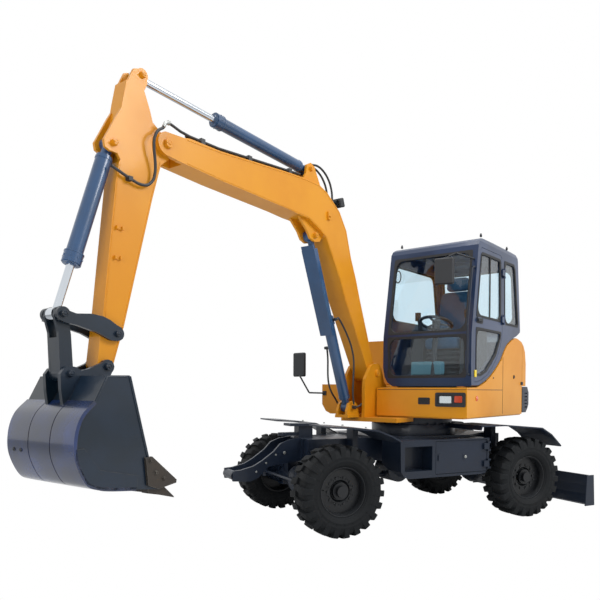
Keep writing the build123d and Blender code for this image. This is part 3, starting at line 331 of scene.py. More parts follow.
def makeStudio(settings):
    # the world is white to the camera, gloss and glass, and dimmer as a light; the camera sees a white floor
    scene, white = bpy.context.scene, settings["white"]
    scene.view_settings.view_transform = "Standard"
    scene.world = bpy.data.worlds.new("studioWorld")
    scene.world.use_nodes = True
    tree = scene.world.node_tree
    plain = feed(tree, tree.nodes["Background"], {"Strength": settings["ambient"], "Color": white})
    seen = shaderNode(tree, "Background", {"Strength": 1.0, "Color": white})
    rays = shaderNode(tree, "LightPath").outputs
    either = mathNode(tree, "MAXIMUM", rays["Is Camera Ray"], rays["Is Glossy Ray"])
    anyOf = mathNode(tree, "MAXIMUM", either, rays["Is Transmission Ray"])
    blended(tree, anyOf, plain, seen, "World Output")
    half, level = settings["floorSize"] / 2, float(cadBox[0][2]) - settings["floorBelow"]
    mesh = bpy.data.meshes.new("studioFloor")
    mesh.from_pydata([(x * half, y * half, level) for x, y in ((-1, -1), (1, -1), (1, 1), (-1, 1))],
                     [], [(0, 1, 2, 3)])
    floor = bpy.data.objects.new("studioFloor", mesh)
    scene.collection.objects.link(floor)
    material, tree, base = newMaterial("paleFloor")
    feed(tree, base, {"Base Color": settings["floorColour"], "Roughness": 0.9, "Specular IOR Level": 0.1})
    glow = shaderNode(tree, "Emission", {"Color": white})
    rays = shaderNode(tree, "LightPath").outputs
    share = mathNode(tree, "MULTIPLY", rays["Is Camera Ray"], settings["floorWhite"])
    blended(tree, share, base, glow, "Material Output")
    mesh.materials.append(material)


aimCamera(camera)
for name, place, target, size, power in lights:
    softLight(name, place, target, size, power)
makeStudio(studio)
print("camera, floor and lights made")


# Effects that the finishes share, as node groups

def newGroup(name, inputs, outputs):
    # a group with its interface; gives its tree, its input sockets and its output node
    group = bpy.data.node_groups.new(name, "ShaderNodeTree")
    for label, kind, value in inputs:
        group.interface.new_socket(name=label, in_out="INPUT", socket_type=kind).default_value = value
    for label, kind in outputs:
        group.interface.new_socket(name=label, in_out="OUTPUT", socket_type=kind)
    return group, group.nodes.new("NodeGroupInput").outputs, group.nodes.new("NodeGroupOutput")


def noiseNode(tree, scale, detail=4.0, rough=0.55):
    where = shaderNode(tree, "TexCoord").outputs["Object"]
    values = {"Vector": where, "Scale": scale, "Detail": detail, "Roughness": rough}
    return shaderNode(tree, "TexNoise", values).outputs["Fac"]


def rampNode(tree, value, low, high):
    made = shaderNode(tree, "MapRange", {"From Min": low, "From Max": high, "Value": value})
    made.interpolation_type = "SMOOTHSTEP"
    return made.outputs["Result"]


def mixColours(tree, share, first, second):
    made = shaderNode(tree, "Mix")
    made.data_type = "RGBA"
    return feed(tree, made, {0: share, 6: first, 7: second}).outputs[2]


tint, number = "NodeSocketColor", "NodeSocketFloat"


def makeWeathering():
    # colour clouded by broad noise, dust on what faces up, and rubbed lines along edges
    tree, given, out = newGroup("weathering", [
        ("Color", tint, (0.5, 0.5, 0.5, 1)), ("Clouded Color", tint, (0.5, 0.5, 0.5, 1)),
        ("Dust Color", tint, (0.5, 0.45, 0.38, 1)), ("Edge Color", tint, (0.6, 0.6, 0.6, 1)),
        ("Cloud Scale", number, 1.6), ("Dust", number, 0.2), ("Edge Wear", number, 0.3),
        ("Roughness", number, 0.4)], [("Color", tint), ("Roughness", number)])
    normal = shaderNode(tree, "NewGeometry").outputs["Normal"]
    clouds = rampNode(tree, noiseNode(tree, given["Cloud Scale"]), 0.35, 0.68)
    fine = rampNode(tree, noiseNode(tree, 38.0, 6.0, 0.7), 0.42, 0.66)
    lying = rampNode(tree, shaderNode(tree, "SeparateXYZ", {0: normal}).outputs["Z"], 0.35, 0.95)
    settled = mathNode(tree, "MULTIPLY", lying, mathNode(tree, "MULTIPLY_ADD", fine, 0.5))
    loose = mathNode(tree, "ADD", settled, mathNode(tree, "MULTIPLY", lying, 0.5))
    dusty = mathNode(tree, "MULTIPLY", loose, given["Dust"], clamp=True)
    softer = shaderNode(tree, "Bevel", {"Radius": 0.006})
    softer.samples = 4
    apart = shaderNode(tree, "VectorMath")
    apart.operation = "DOT_PRODUCT"
    feed(tree, apart, {0: softer.outputs[0], 1: normal})
    edge = rampNode(tree, apart.outputs["Value"], 0.985, 0.86)
    patches = rampNode(tree, noiseNode(tree, 14.0, 5.0, 0.65), 0.38, 0.62)
    worn = mathNode(tree, "MULTIPLY", edge, patches)
    rubbed = mathNode(tree, "MULTIPLY", worn, given["Edge Wear"], clamp=True)
    colour = mixColours(tree, clouds, given["Color"], given["Clouded Color"])
    colour = mixColours(tree, dusty, colour, given["Dust Color"])
    colour = mixColours(tree, rubbed, colour, given["Edge Color"])
    rough = mathNode(tree, "ADD", given["Roughness"], mathNode(tree, "MULTIPLY", clouds, 0.07))
    rough = mathNode(tree, "ADD", rough, mathNode(tree, "MULTIPLY", dusty, 0.3), clamp=True)
    feed(tree, out, {"Color": colour, "Roughness": rough})
    return tree


def makeGrain():
    # fine height from two sizes of noise: paint ripple, moulded grain or rubber skin by its scale
    tree, given, out = newGroup("surfaceGrain", [
        ("Scale", number, 120.0), ("Ripple Scale", number, 9.0), ("Ripple Share", number, 0.3)],
        [("Height", number)])
    fine = noiseNode(tree, given["Scale"], 3.0, 0.6)
    broad = noiseNode(tree, given["Ripple Scale"], 2.0, 0.5)
    ripples = mathNode(tree, "MULTIPLY", broad, given["Ripple Share"])
    feed(tree, out, {"Height": mathNode(tree, "ADD", fine, ripples)})
    return tree


def makeWeave():
    # two crossed sine waves multiplied: raised and sunk patches take turns
    tree, given, out = newGroup("weave", [("Threads", number, 420.0)], [("Height", number)])
    where = shaderNode(tree, "TexCoord").outputs["Object"]
    split = shaderNode(tree, "SeparateXYZ", {0: where}).outputs
    waves = []
    for operation, label in (("ADD", "X"), ("SUBTRACT", "Y")):
        along = mathNode(tree, operation, split[label], split["Z"])
        waves.append(mathNode(tree, "SINE", mathNode(tree, "MULTIPLY", along, given["Threads"])))
    feed(tree, out, {"Height": mathNode(tree, "MULTIPLY", *waves)})
    return tree


weathering, surfaceGrain, weave = makeWeathering(), makeGrain(), makeWeave()


def groupNode(tree, group, values):
    made = shaderNode(tree, "Group")
    made.node_tree = group
    return feed(tree, made, values)


def sRgb(red, green, blue):
    # display colour 0..255 to the linear one that shaders take
    values = np.array((red, green, blue)) / 255
    return tuple(np.where(values <= 0.04045, values / 12.92, ((values + 0.055) / 1.055) ** 2.4)) + (1.0,)


def finish(name, colour, clouded, roughness, dust=0.05, wear=0.0, edge=(150, 150, 150),
           dustColour=(128, 128, 126), cloudScale=1.6, grain=120.0, ripple=9.0, rippleShare=0.3, bump=0.05,
           metallic=0.0, coat=0.0, specular=0.5):
    # a painted, plastic or metal finish; colours are display values, the bump's depth is 1.5 mm
    material, tree, base = newMaterial(name)
    weather = groupNode(tree, weathering, {
        "Color": sRgb(*colour), "Clouded Color": sRgb(*clouded), "Dust Color": sRgb(*dustColour),
        "Edge Color": sRgb(*edge), "Cloud Scale": cloudScale, "Dust": dust, "Edge Wear": wear,
        "Roughness": roughness}).outputs
    fine = groupNode(tree, surfaceGrain, {
        "Scale": grain, "Ripple Scale": ripple, "Ripple Share": rippleShare}).outputs["Height"]
    raised = shaderNode(tree, "Bump", {"Strength": bump, "Distance": 0.0015, "Height": fine})
    feed(tree, base, {
        "Metallic": metallic, "Coat Weight": coat, "Coat Roughness": 0.08, "Specular IOR Level": specular,
        "Base Color": weather["Color"], "Roughness": weather["Roughness"], "Normal": raised.outputs[0]})
    return material


def glassFinish(name, colour):
    # clear glass with faint smears; light from outside passes it, so that what stands behind isn't dark
    material, tree, base = newMaterial(name)
    smears = noiseNode(tree, 2.2, 2.0, 0.5)
    rays = shaderNode(tree, "LightPath").outputs
    passing = mathNode(tree, "MAXIMUM", rays["Is Shadow Ray"], rays["Is Diffuse Ray"])
    feed(tree, base, {
        "Base Color": sRgb(*colour), "Transmission Weight": 1.0, "IOR": 1.45, "Specular IOR Level": 0.22,
        "Roughness": rampNode(tree, smears, 0.3, 3.6),
        "Alpha": mathNode(tree, "MULTIPLY_ADD", passing, -0.9, 1.0)})
    return material


yellowPaint = finish(
    "yellowPaint", (218, 146, 22), (211, 137, 16), 0.36, wear=0.18, edge=(240, 190, 110),
    dustColour=(226, 196, 150), specular=0.32, coat=0.15, bump=0.03, grain=260.0, ripple=6.0,
    rippleShare=1.2)
darkPaint = finish(
    "darkPaint", (12, 23, 38), (16, 28, 46), 0.38, dust=0.10, wear=0.22, edge=(76, 88, 104),
    dustColour=(70, 80, 94), specular=0.35, coat=0.12, bump=0.05, grain=220.0)
cabPaint = finish(
    "cabPaint", (20, 46, 84), (16, 38, 70), 0.30, dust=0.06, wear=0.18, edge=(120, 142, 170),
    dustColour=(84, 112, 150), specular=0.4, coat=0.3, bump=0.03, grain=260.0, ripple=6.0, rippleShare=1.2)
cylinderPaint = finish(
    "cylinderPaint", (34, 74, 116), (28, 62, 98), 0.28, dust=0.08, wear=0.22, edge=(120, 146, 176),
    dustColour=(90, 110, 136), coat=0.5, bump=0.03, grain=260.0)
bucketPaint = finish(
    "bucketPaint", (10, 24, 34), (14, 32, 50), 0.32, dust=0.08, wear=0.40, edge=(96, 92, 86),
    dustColour=(76, 88, 104), specular=0.4, coat=0.2, bump=0.06, grain=160.0)
toothSteel = finish(
    "toothSteel", (52, 54, 58), (68, 62, 56), 0.48, dust=0.2, wear=0.5, edge=(140, 136, 128), metallic=0.7,
    bump=0.12, grain=90.0)
rodChrome = finish("rodChrome", (206, 212, 218), (198, 204, 212), 0.12, metallic=1.0, bump=0.01)
tyreRubber = finish(
    "tyreRubber", (10, 13, 16), (15, 18, 21), 0.66, dust=0.12, wear=0.25, edge=(38, 41, 45),
    dustColour=(48, 52, 57), bump=0.25, grain=170.0, cloudScale=3.0, specular=0.22)
rimPaint = finish(
    "rimPaint", (9, 12, 16), (13, 16, 20), 0.42, dust=0.10, wear=0.28, edge=(60, 66, 74),
    dustColour=(48, 52, 57), specular=0.35, coat=0.1)
trimPlastic = finish(
    "trimPlastic", (20, 24, 30), (25, 29, 35), 0.55, dust=0.06, wear=0.1, edge=(60, 62, 66), bump=0.18,
    grain=420.0)
windowRubber = finish("windowRubber", (20, 22, 25), (25, 27, 30), 0.6, dust=0.1, bump=0.1, grain=300.0)
hoseRubber = finish("hoseRubber", (30, 32, 35), (40, 42, 45), 0.5, dust=0.2, bump=0.15, grain=240.0)
zincSteel = finish(
    "zincSteel", (168, 170, 168), (150, 152, 150), 0.34, dust=0.1, wear=0.2, edge=(210, 210, 205),
    metallic=0.9, bump=0.04)
castIron = finish("castIron", (46, 48, 50), (54, 54, 54), 0.6, dust=0.3, wear=0.1, bump=0.3, grain=70.0)
shellPaint = finish(
    "shellPaint", (12, 28, 56), (26, 52, 108), 0.24, wear=0.35, edge=(110, 92, 78),
    dustColour=(76, 88, 104), coat=0.55, bump=0.05, grain=160.0, cloudScale=2.4)
cabTeal = finish("cabTeal", (84, 140, 156), (72, 126, 142), 0.5, bump=0.1, grain=300.0)
reflectorOrange = finish("reflectorOrange", (214, 92, 22), (200, 80, 18), 0.2, coat=0.8, bump=0.02)
lampRed = finish("lampRed", (196, 66, 32), (184, 56, 26), 0.18, coat=0.8, bump=0.02)
mirrorSilver = finish(
    "mirrorSilver", (214, 218, 220), (210, 214, 216), 0.05, dust=0.02, metallic=1.0, bump=0.0)
windowGlass = glassFinish("windowGlass", (228, 243, 250))
lampGlass = glassFinish("lampGlass", (232, 238, 240))
print("finishes made")

# finish of the pieces that the scene adds, each beside a slot name
yellow, dark, zinc = (yellowPaint, "yellow_paint"), (darkPaint, "dark_paint"), (zincSteel, "dark_paint")
trim, rubber = (trimPlastic, "trim_plastic"), (windowRubber, "trim_plastic")
silver = (mirrorSilver, "rod_chrome")

nodesOf = [
    # finish, nodes that have it
    (yellowPaint, "upper_frame house_panels engine_hood boom stick"), (cabPaint, "cab_shell door"),
    (windowGlass, "cab_glass door_glass"), (castIron, "engine"),
    (trimPlastic, "controls mirrors house_lamps boom_lamp seat"),
    (hoseRubber, "boom_pipes boom_hoses boom_cyl_hoses house_hoses stick_hose"),
    (cylinderPaint, "boom_cyl_barrel stick_cyl_barrel bucket_cyl_barrel blade_barrel boom_cyl_rod"),
    (rodChrome, "stick_cyl_rod bucket_cyl_rod blade_rod"), (bucketPaint, "guide_links tipping_link bucket"),
    (toothSteel, "bucket_teeth"),
]
nodeFinish = {label: material for material, labels in nodesOf for label in labels.split()}
for label, node in nodes.items():
    if label.startswith("rim_"):
        chosen = rimPaint
    elif label.startswith("tyre_"):
        chosen = tyreRubber
    else:
        chosen = nodeFinish.get(label, darkPaint)
    node.data.materials.clear()
    node.data.materials.append(chosen)
print("packed nodes finished")

# Tyres

tyre = dict(bars=22, radius=0.4197, barHalfWidth=0.0285, ramp=0.004, lean=0.024)
treadProfile = [
    # in mm, distance from the middle and radius: first on the carcass, then on a bar
    (0.0, 398.5, 0.0, 398.5), (4.0, 398.5, 4.0, 398.5), (6.0, 398.4, 5.5, 417.0),
    (9.0, 398.2, 9.0, 419.6), (42.0, 397.3, 42.0, 419.7), (78.0, 395.3, 78.0, 419.0),
    (110.5, 391.0, 116.0, 417.0), (128.0, 380.0, 138.0, 412.5), (138.0, 366.0, 146.0, 404.0),
    (143.5, 350.0, 149.0, 382.0), (147.5, 336.0, 150.6, 352.0), (150.0, 324.0, 152.0, 326.0),
    (151.9, 319.0, 152.3, 319.0), (151.9, 312.0, 152.1, 312.0)]
sideProfile = [
    # the same on both
    (149.8, 307.0), (149.6, 288.0), (151.0, 283.0), (150.6, 277.0), (147.6, 272.0), (141.0, 254.0),
    (134.5, 244.0), (130.5, 243.0), (124.0, 233.5), (116.5, 228.6), (100.0, 228.2), (90.5, 229.4),
    (68.5, 268.0), (0.0, 268.0)]
tyreProfile = np.array(treadProfile + [row * 2 for row in sideProfile]) / 1000


def tyreShape(settings, centre, side):
    # radius and width go from the carcass profile to the bar profile where the column lies on a bar;
    # columns lean with the distance from the middle, so that the bars of both halves point one way
    pitch = 2 * math.pi * settings["radius"] / settings["bars"]
    half, ramp = settings["barHalfWidth"], settings["ramp"]
    edges = np.array((-half - ramp, -half, -half / 3, half / 3, half, half + ramp))
    offsets = np.sort(np.concatenate((edges, edges + pitch / 2)))
    columns = (np.arange(settings["bars"])[:, None] * pitch + offsets[None, :]).ravel()
    near = (columns + pitch / 2) % pitch - pitch / 2
    far = (columns + pitch) % pitch - pitch / 2
    onBar = [np.clip((half + ramp - np.abs(place)) / ramp, 0, 1).round() for place in (near, far)]
    core, bar = tyreProfile[:, :2], tyreProfile[:, 2:]
    blend = np.clip((core[:, 1] - 0.300) / 0.02, 0, 1)
    grids = []
    for sign, share in zip((1, -1), onBar):
        weight = share[None, :] * blend[:, None]
        across = core[:, :1] * (1 - weight) + bar[:, :1] * weight
        radius = core[:, 1:] * (1 - weight) + bar[:, 1:] * weight
        lean = settings["lean"] * np.clip(core[:, 0] / 0.14, 0, 1)[:, None]
        angle = (columns[None, :] + lean) / settings["radius"]
        grids.append(np.stack((radius * np.sin(angle), sign * across, radius * np.cos(angle)), axis=-1))
    right, left = grids
    ring = np.concatenate((right[:-1], left[::-1][:-1]), axis=0)
    ring = ring * (side, side, 1) + centre
    return surface(ring, wrapRows=True, wrapColumns=True)


wheels = dict(base=2.204, track=1.570, radius=0.420)
hubs = []
for end, along in (("front", 1), ("rear", -1)):
    for flank, side in (("left", 1), ("right", -1)):
        hub = np.array((along * wheels["base"] / 2, side * wheels["track"] / 2, wheels["radius"]))
        hubs.append((end + "_" + flank, hub, side))
for label, hub, side in hubs:
    shape = tyreShape(tyre, inChassis(hub), side)
    made = piece("tread_" + label, shape, "wheel_" + label, tyreRubber, "tyre_rubber", 28)
    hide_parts("tyre_" + label)
print("tyres made")


# Window rubbers

cab = dict(y0=-0.110, y1=0.900, rubber=0.020, corner=0.085, backX=-0.880, backZ=2.030, backSlope=0.1208)


def windshieldX(height):
    # outer face of the front windows at a height
    return np.interp(height, (1.378, 1.600, 1.900, 2.790), (0.455, 0.468, 0.463, 0.312))


def onFront(loop, depth):
    # depth counted forwards from the face of the front windows
    return onHouseFront(loop, windshieldX(loop[:, 1]) + depth)


def onBack(loop, depth):
    # depth counted forwards from the cab's back, whose x grows with the height by its slope
    leaning = cab["backX"] + (loop[:, 1] - cab["backZ"]) * cab["backSlope"]
    return onHouseFront(loop, leaning + depth)


paneLines = dict(
    frontUpper=rectangle(-0.050, 0.840, 1.925, 2.735), frontLower=rectangle(-0.050, 0.840, 1.470, 1.890),
    back=rectangle(-0.040, 0.830, 2.085, 2.720),
    rear=((-0.395, 2.060), (-0.372, 2.735), (-0.660, 2.742), (-0.700, 2.690), (-0.812, 2.095),
          (-0.790, 2.060)),
    right=((-0.780, 2.080), (0.330, 2.080), (0.225, 2.700), (-0.660, 2.710)),
    doorUpper=((0.350, 2.075), (0.246, 2.700), (0.218, 2.722), (-0.252, 2.730), (-0.270, 2.712),
               (-0.290, 2.075)),
    doorLower=((0.352, 1.490), (0.360, 1.600), (0.354, 1.962), (-0.300, 1.962), (-0.285, 1.895),
               (-0.160, 1.712), (0.090, 1.534), (0.245, 1.486)))
paneTrims = [
    # pane, place, back and front depth, body
    ("frontUpper", onFront, -0.012, 0.003, "upper"), ("frontLower", onFront, -0.012, 0.003, "upper"),
    ("back", onBack, 0.012, -0.003, "upper"),
    ("rear", sideways, cab["y1"] - 0.012, cab["y1"] + 0.003, "upper"),
    ("right", sideways, cab["y0"] + 0.012, cab["y0"] - 0.003, "upper"),
    ("doorUpper", sideways, cab["y1"] - 0.014, cab["y1"] + 0.002, "door"),
    ("doorLower", sideways, cab["y1"] - 0.014, cab["y1"] + 0.002, "door"),
]
for label, place, back, front, body in paneTrims:
    outer = rounded(inset(paneLines[label], -0.006), 0.020)
    inner = rounded(inset(paneLines[label], cab["rubber"]), cab["corner"])
    piece("rubber_" + label, trimRing(outer, inner, place, back, front), body, *rubber)
print("window rubbers made")


# Seat

seat = dict(middle=0.395, cushion=(0.43, 0.418, 0.13), back=(0.12, 0.41, 0.56), rest=(0.09, 0.26, 0.15))


def padShape(size, crown, pinch, rows=26, columns=72):
    # crowned cushion: a superellipse outline in Y and Z is carried from the front pole to the back one, its
    # thickness follows a rounded arch, and its sides pull in between the corners
    around = np.linspace(0, 2 * math.pi, columns, endpoint=False)[None, :]
    through = np.linspace(0.02, math.pi - 0.02, rows)[:, None]
    power = 0.42
    wide = np.sign(np.cos(around)) * np.abs(np.cos(around)) ** power
    tall = np.sign(np.sin(around)) * np.abs(np.sin(around)) ** power
    ring = np.sin(through) ** 0.34
    waist = 1 - pinch * (np.cos(2 * around) ** 2) * np.sin(through) ** 2
    depth = np.sign(np.cos(through)) * np.abs(np.cos(through)) ** 0.55
    full = 1 + crown * (1 - wide ** 2) * (1 - tall ** 2)
    return np.stack(np.broadcast_arrays(depth * full * size[0] / 2, ring * waist * wide * size[1] / 2,
                                        ring * waist * tall * size[2] / 2), axis=-1)


def tilted(points, degrees, centre):
    # turns points about Y, then moves them: x' = x cos + z sin, z' = z cos - x sin
    turn = math.radians(degrees)
    x = points[..., 0] * math.cos(turn) + points[..., 2] * math.sin(turn)
    z = points[..., 2] * math.cos(turn) - points[..., 0] * math.sin(turn)
    return np.stack((x, points[..., 1], z), axis=-1) + centre


seatFabric = finish("seatFabric", (52, 94, 128), (44, 82, 112), 0.85, bump=0.35, specular=0.2)
tree = seatFabric.node_tree
woven = groupNode(tree, weave, {"Threads": 1300.0}).outputs["Height"]
feed(tree, tree.nodes["Bump"], {"Height": woven})

cushionGrid = padShape(seat["cushion"][::-1], 0.10, 0.05)[..., [2, 1, 0]]
pads = [
    ("seatCushion", cushionGrid, 2.0, (-0.060, seat["middle"], 1.846)),
    ("seatBack", padShape(seat["back"], 0.22, 0.05), -8.0, (-0.262, seat["middle"], 2.170)),
    ("headRest", padShape(seat["rest"], 0.15, 0.04), -8.0, (-0.300, seat["middle"], 2.520)),
]
for label, grid, degrees, centre in pads:
    shape = tube(inUpper(tilted(grid, degrees, centre)))
    made = piece(label, shape, "upper", seatFabric, "seat_fabric", 60)
    if label == "seatCushion":
        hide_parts("seat")
bellows = dict(low=1.42, high=1.78, rows=15, wide=0.185, fold=0.012, longer=1.15, back=0.09)
heights = np.linspace(bellows["low"], bellows["high"], bellows["rows"])[:, None]
wide = bellows["wide"] + bellows["fold"] * np.cos(np.arange(bellows["rows"]) * math.pi)[:, None]
outline = roundedBox(-1, 1, -1, 1, 0.3)
base = np.stack(np.broadcast_arrays(outline[:, 0] * wide * bellows["longer"] - bellows["back"],
                                    outline[:, 1] * wide + seat["middle"], heights), axis=-1)
piece("seatBase", tube(inUpper(base)), "upper", *trim)
print("seat made")


# Small repeated fittings
bolt = dict(washerWidth=1.25, washerHeight=0.003, washerBevel=0.0006, headBevel=0.0012)
cap = dict(side=0.006, face=0.008, bevel=0.003, dishFrom=0.62, dishTo=0.56, dish=0.0055, boss=0.012,
           bossTop=0.010, bossTip=0.008, keeperAt=0.80, keeperWidth=0.007, keeperHeight=0.006)


def boltHead(centre, axis, width=0.011, height=0.008, sign=1):
    # a washer under a six-sided head, both turned about the axis
    thick = sign * bolt["washerHeight"]
    washer = button(centre, axis, width * bolt["washerWidth"], thick, bolt["washerBevel"], 20)
    head = button(centre, axis, width, sign * (bolt["washerHeight"] + height), bolt["headBevel"], 6)
    return [washer, head]


def pinCap(centre, radius, sign):
    # retaining cap of a pin across the arm: a stepped disc with a dished middle, its keeper bolt beside it
    steps = [(0.0, radius), (cap["side"], radius), (cap["face"], radius - cap["bevel"]),
             (cap["face"], radius * cap["dishFrom"]), (cap["dish"], radius * cap["dishTo"]),
             (cap["dish"], cap["boss"]), (cap["bossTop"], cap["bossTip"])]
    disc = turned([(sign * along, wide) for along, wide in steps], centre, "y", 40)
    beside = (centre[0] + radius * cap["keeperAt"], centre[1] + sign * cap["side"], centre[2])
    return [disc] + boltHead(beside, "y", cap["keeperWidth"], cap["keeperHeight"], sign)


def straightRun(start, end, radius, steps=16):
    # a round bar between two points, its rims bevelled
    start, end = np.asarray(start, float), np.asarray(end, float)
    length = np.linalg.norm(end - start)
    ahead = unit(end - start)
    side = unit(np.cross(ahead, (0, 0, 1) if abs(ahead[2]) < 0.9 else (0, 1, 0)))
    bevel = min(0.0015, radius * 0.3)
    profile = [(0.0, radius - bevel), (bevel, radius), (length - bevel, radius), (length, radius - bevel)]
    return aboutLine(start, ahead, side, profile, steps)


def moved(shapes, place):
    # several shapes as one, every point put through the place function
    whole = together(shapes)
    whole["points"] = place(whole["points"])
    return whole


def upperShape(shapes):
    return moved(shapes, inUpper)


def chassisShape(shapes):
    return moved(shapes, inChassis)


def alongArm(line, aside):
    # points in X and Z set at a distance from the arm's middle plane
    return np.column_stack((line[:, 0], np.full(len(line), armY + aside), line[:, 1]))


def leftward(line):
    # unit normals on the left of an open line in X and Z
    run = unit(np.gradient(line, axis=0))
    return np.stack((-run[:, 1], run[:, 0]), axis=-1)


# Pins and welds of the arm
armPins = dict(
    boomFoot=(0.543, 1.519), boomTip=(3.232, 3.066), stickEnd=(3.710, 1.480), boomCylFoot=(0.894, 1.161),
    boomCylTop=(1.512, 2.785), stickCylFoot=(1.577, 3.385), stickCylTop=(3.411, 3.484),
    bucketCylFoot=(3.635, 2.952), linkTop=(4.008, 1.794), guideFoot=(3.634, 1.699),
    bucketLink=(3.968, 1.430))
capTable = [
    # pin, distance of its end from the arm's middle, cap radius, body
    ("boomFoot", 0.159, 0.034, "upper"), ("boomTip", 0.119, 0.031, "boom"),
    ("boomCylTop", 0.088, 0.023, "boom"), ("stickCylFoot", 0.080, 0.020, "boom"),
    ("stickCylTop", 0.078, 0.020, "stick"), ("bucketCylFoot", 0.086, 0.020, "stick"),
    ("linkTop", 0.111, 0.020, "guide_links"), ("guideFoot", 0.111, 0.020, "guide_links"),
    ("stickEnd", 0.115, 0.024, "bucket"), ("bucketLink", 0.115, 0.020, "bucket"),
]
for label, reach, radius, body in capTable:
    x, z = armPins[label]
    shapes = []
    for sign in (1, -1):
        shapes += pinCap((x, armY + sign * reach, z), radius, sign)
    material = bucketPaint if body in ("guide_links", "bucket") else yellowPaint
    piece("pinCaps_" + label, upperShape(shapes), body, material, "yellow_paint")

weld = dict(radius=0.0035, boomSide=0.105, stickSide=0.065)
weldTable = [
    # name, body, distance from the arm's middle, shift to the line's left, line in X and Z
    ("boom", "boom", weld["boomSide"], 0.012, [
        (3.060, 3.160), (2.738, 3.172), (1.916, 3.242), (1.677, 3.255), (1.507, 3.254), (1.374, 3.209),
        (1.174, 3.075), (1.059, 2.914), (0.978, 2.664), (0.885, 2.457), (0.817, 2.271), (0.687, 1.948),
        (0.600, 1.730)]),
    ("boomUnder", "boom", weld["boomSide"], -0.012, [
        (3.060, 2.968), (2.738, 2.949), (1.975, 2.923), (1.783, 2.910), (1.647, 2.908), (1.504, 2.850),
        (1.390, 2.790), (1.279, 2.611), (1.158, 2.417), (1.069, 2.232), (0.760, 1.713)]),
    ("stickBack", "stick", weld["stickSide"], 0.010, [
        (3.700, 1.700), (3.716, 1.863), (3.623, 2.708), (3.597, 2.830)]),
    ("stickFront", "stick", weld["stickSide"], 0.010, [
        (3.262, 2.930), (3.335, 2.661), (3.567, 1.751), (3.640, 1.520)]),
]
for label, body, aside, shift, line in weldTable:
    line = np.array(line)
    line = line + leftward(line) * shift
    beads = [carried(circle(weld["radius"], 8), alongArm(line, sign * aside)) for sign in (1, -1)]
    piece("weld_" + label, upperShape(beads), body, *yellow, 60)
print("pins and welds made")

# Cylinder rings: each profile gives the distance, the radius it starts from and what is added to it
glandProfile = [(0.0, "rod", 0.001), (0.0, "collar", -0.006), (0.006, "collar", -0.006),
                (0.008, "rod", 0.010), (0.013, "rod", 0.007), (0.013, "rod", 0.001)]
bandProfile = [(-0.074, "outer", 0.0), (-0.074, "collar", 0.002), (-0.066, "collar", 0.002),
               (-0.066, "outer", 0.0)]
footProfile = [(0.108, "outer", -0.004), (0.108, "outer", 0.003), (0.122, "outer", 0.003),
               (0.124, "outer", -0.001)]
gland = dict(collar=0.008, boltAt=0.036, bolts=8, boltFoot=0.002, boltTop=0.004, boltRadius=0.006)
cylinderTable = [
    # name, foot pin, top pin, gland distance, barrel radius, rod radius, barrel body
    ("stickCyl", "stickCylFoot", "stickCylTop", 1.130, 0.050, 0.026, "stick_barrel"),
    ("bucketCyl", "bucketCylFoot", "linkTop", 0.870, 0.052, 0.025, "bucket_barrel"),
    ("boomCyl", "boomCylFoot", "boomCylTop", 0.950, 0.055, 0.030, "boom_barrel"),
]
acrossArm = np.array((0.0, 1.0, 0.0))
for label, foot, top, end, outer, rod, body in cylinderTable:
    start, finishPoint = (np.array((armPins[name][0], armY, armPins[name][1])) for name in (foot, top))
    run = unit(finishPoint - start)
    radii = dict(rod=rod, outer=outer, collar=outer + gland["collar"])
    shapes = []
    for past, rows in ((end, glandProfile), (end, bandProfile), (0.0, footProfile)):
        profile = [(past + along, radii[base] + more) for along, base, more in rows]
        shapes.append(aboutLine(start, run, acrossArm, profile, 40))
    spot = start + run * (end - gland["boltAt"])
    for turn in np.arange(gland["bolts"]) * 2 * math.pi / gland["bolts"]:
        out = acrossArm * math.cos(turn) + np.cross(run, acrossArm) * math.sin(turn)
        low, high = radii["collar"] - gland["boltFoot"], radii["collar"] + gland["boltTop"]
        shapes.append(straightRun(spot + out * low, spot + out * high, gland["boltRadius"], 6))
    piece("glandRing_" + label, upperShape(shapes), body, cylinderPaint, "cylinder_paint")
print("cylinder rings made")

# Pipe end and boom lamp
pipe = dict(radius=0.010, elbowRadius=0.0125, nutRadius=0.017, nutBack=0.012, nutFront=0.006, bend=3)
pipeLine = np.array([
    # x, y from the arm's middle, z
    (3.030, 0.086, 3.192), (3.110, 0.090, 3.197), (3.190, 0.108, 3.204), (3.246, 0.126, 3.203),
    (3.276, 0.131, 3.188), (3.290, 0.131, 3.158)])
path = pipeLine + (0, armY, 0)
straight = carried(circle(pipe["radius"], 12), path[:pipe["bend"] + 1], (0, 0, 1))
piece("pipeEnd", upperShape([straight]), "boom", hoseRubber, "hose_rubber", 50)
bend = path[pipe["bend"]]
nut = straightRun(bend - (pipe["nutBack"], 0, 0), bend + (pipe["nutFront"], 0, 0), pipe["nutRadius"], 6)
elbow = carried(circle(pipe["elbowRadius"], 14), path[pipe["bend"]:])
piece("pipeElbow", upperShape([elbow, nut]), "boom", zincSteel, "rod_chrome", 50)
boomLamp = dict(x=1.085, z=3.195, tilt=20.0, halfWide=0.062, halfTall=0.034, corner=0.01, face=0.0402)


def onBoomLamp(loop, depth):
    # a facing outline, tilted with the lamp about Y and carried to it
    return inUpper(tilted(facing(loop, depth), boomLamp["tilt"], (boomLamp["x"], armY, boomLamp["z"])))


wide, tall, face = boomLamp["halfWide"], boomLamp["halfTall"], boomLamp["face"]
lens = roundedBox(-wide, wide, -tall, tall, boomLamp["corner"])
glass = plate(lens, onBoomLamp, face + 0.0006, face + 0.005, 0.002)
piece("boomLampLens", glass, "boom", lampGlass, "window_glass")
bowl = plate(inset(lens, 0.003), onBoomLamp, face - 0.0006, face + 0.0004, 0.0002)
piece("boomLampBowl", bowl, "boom", *silver)
print("pipe end and boom lamp made")

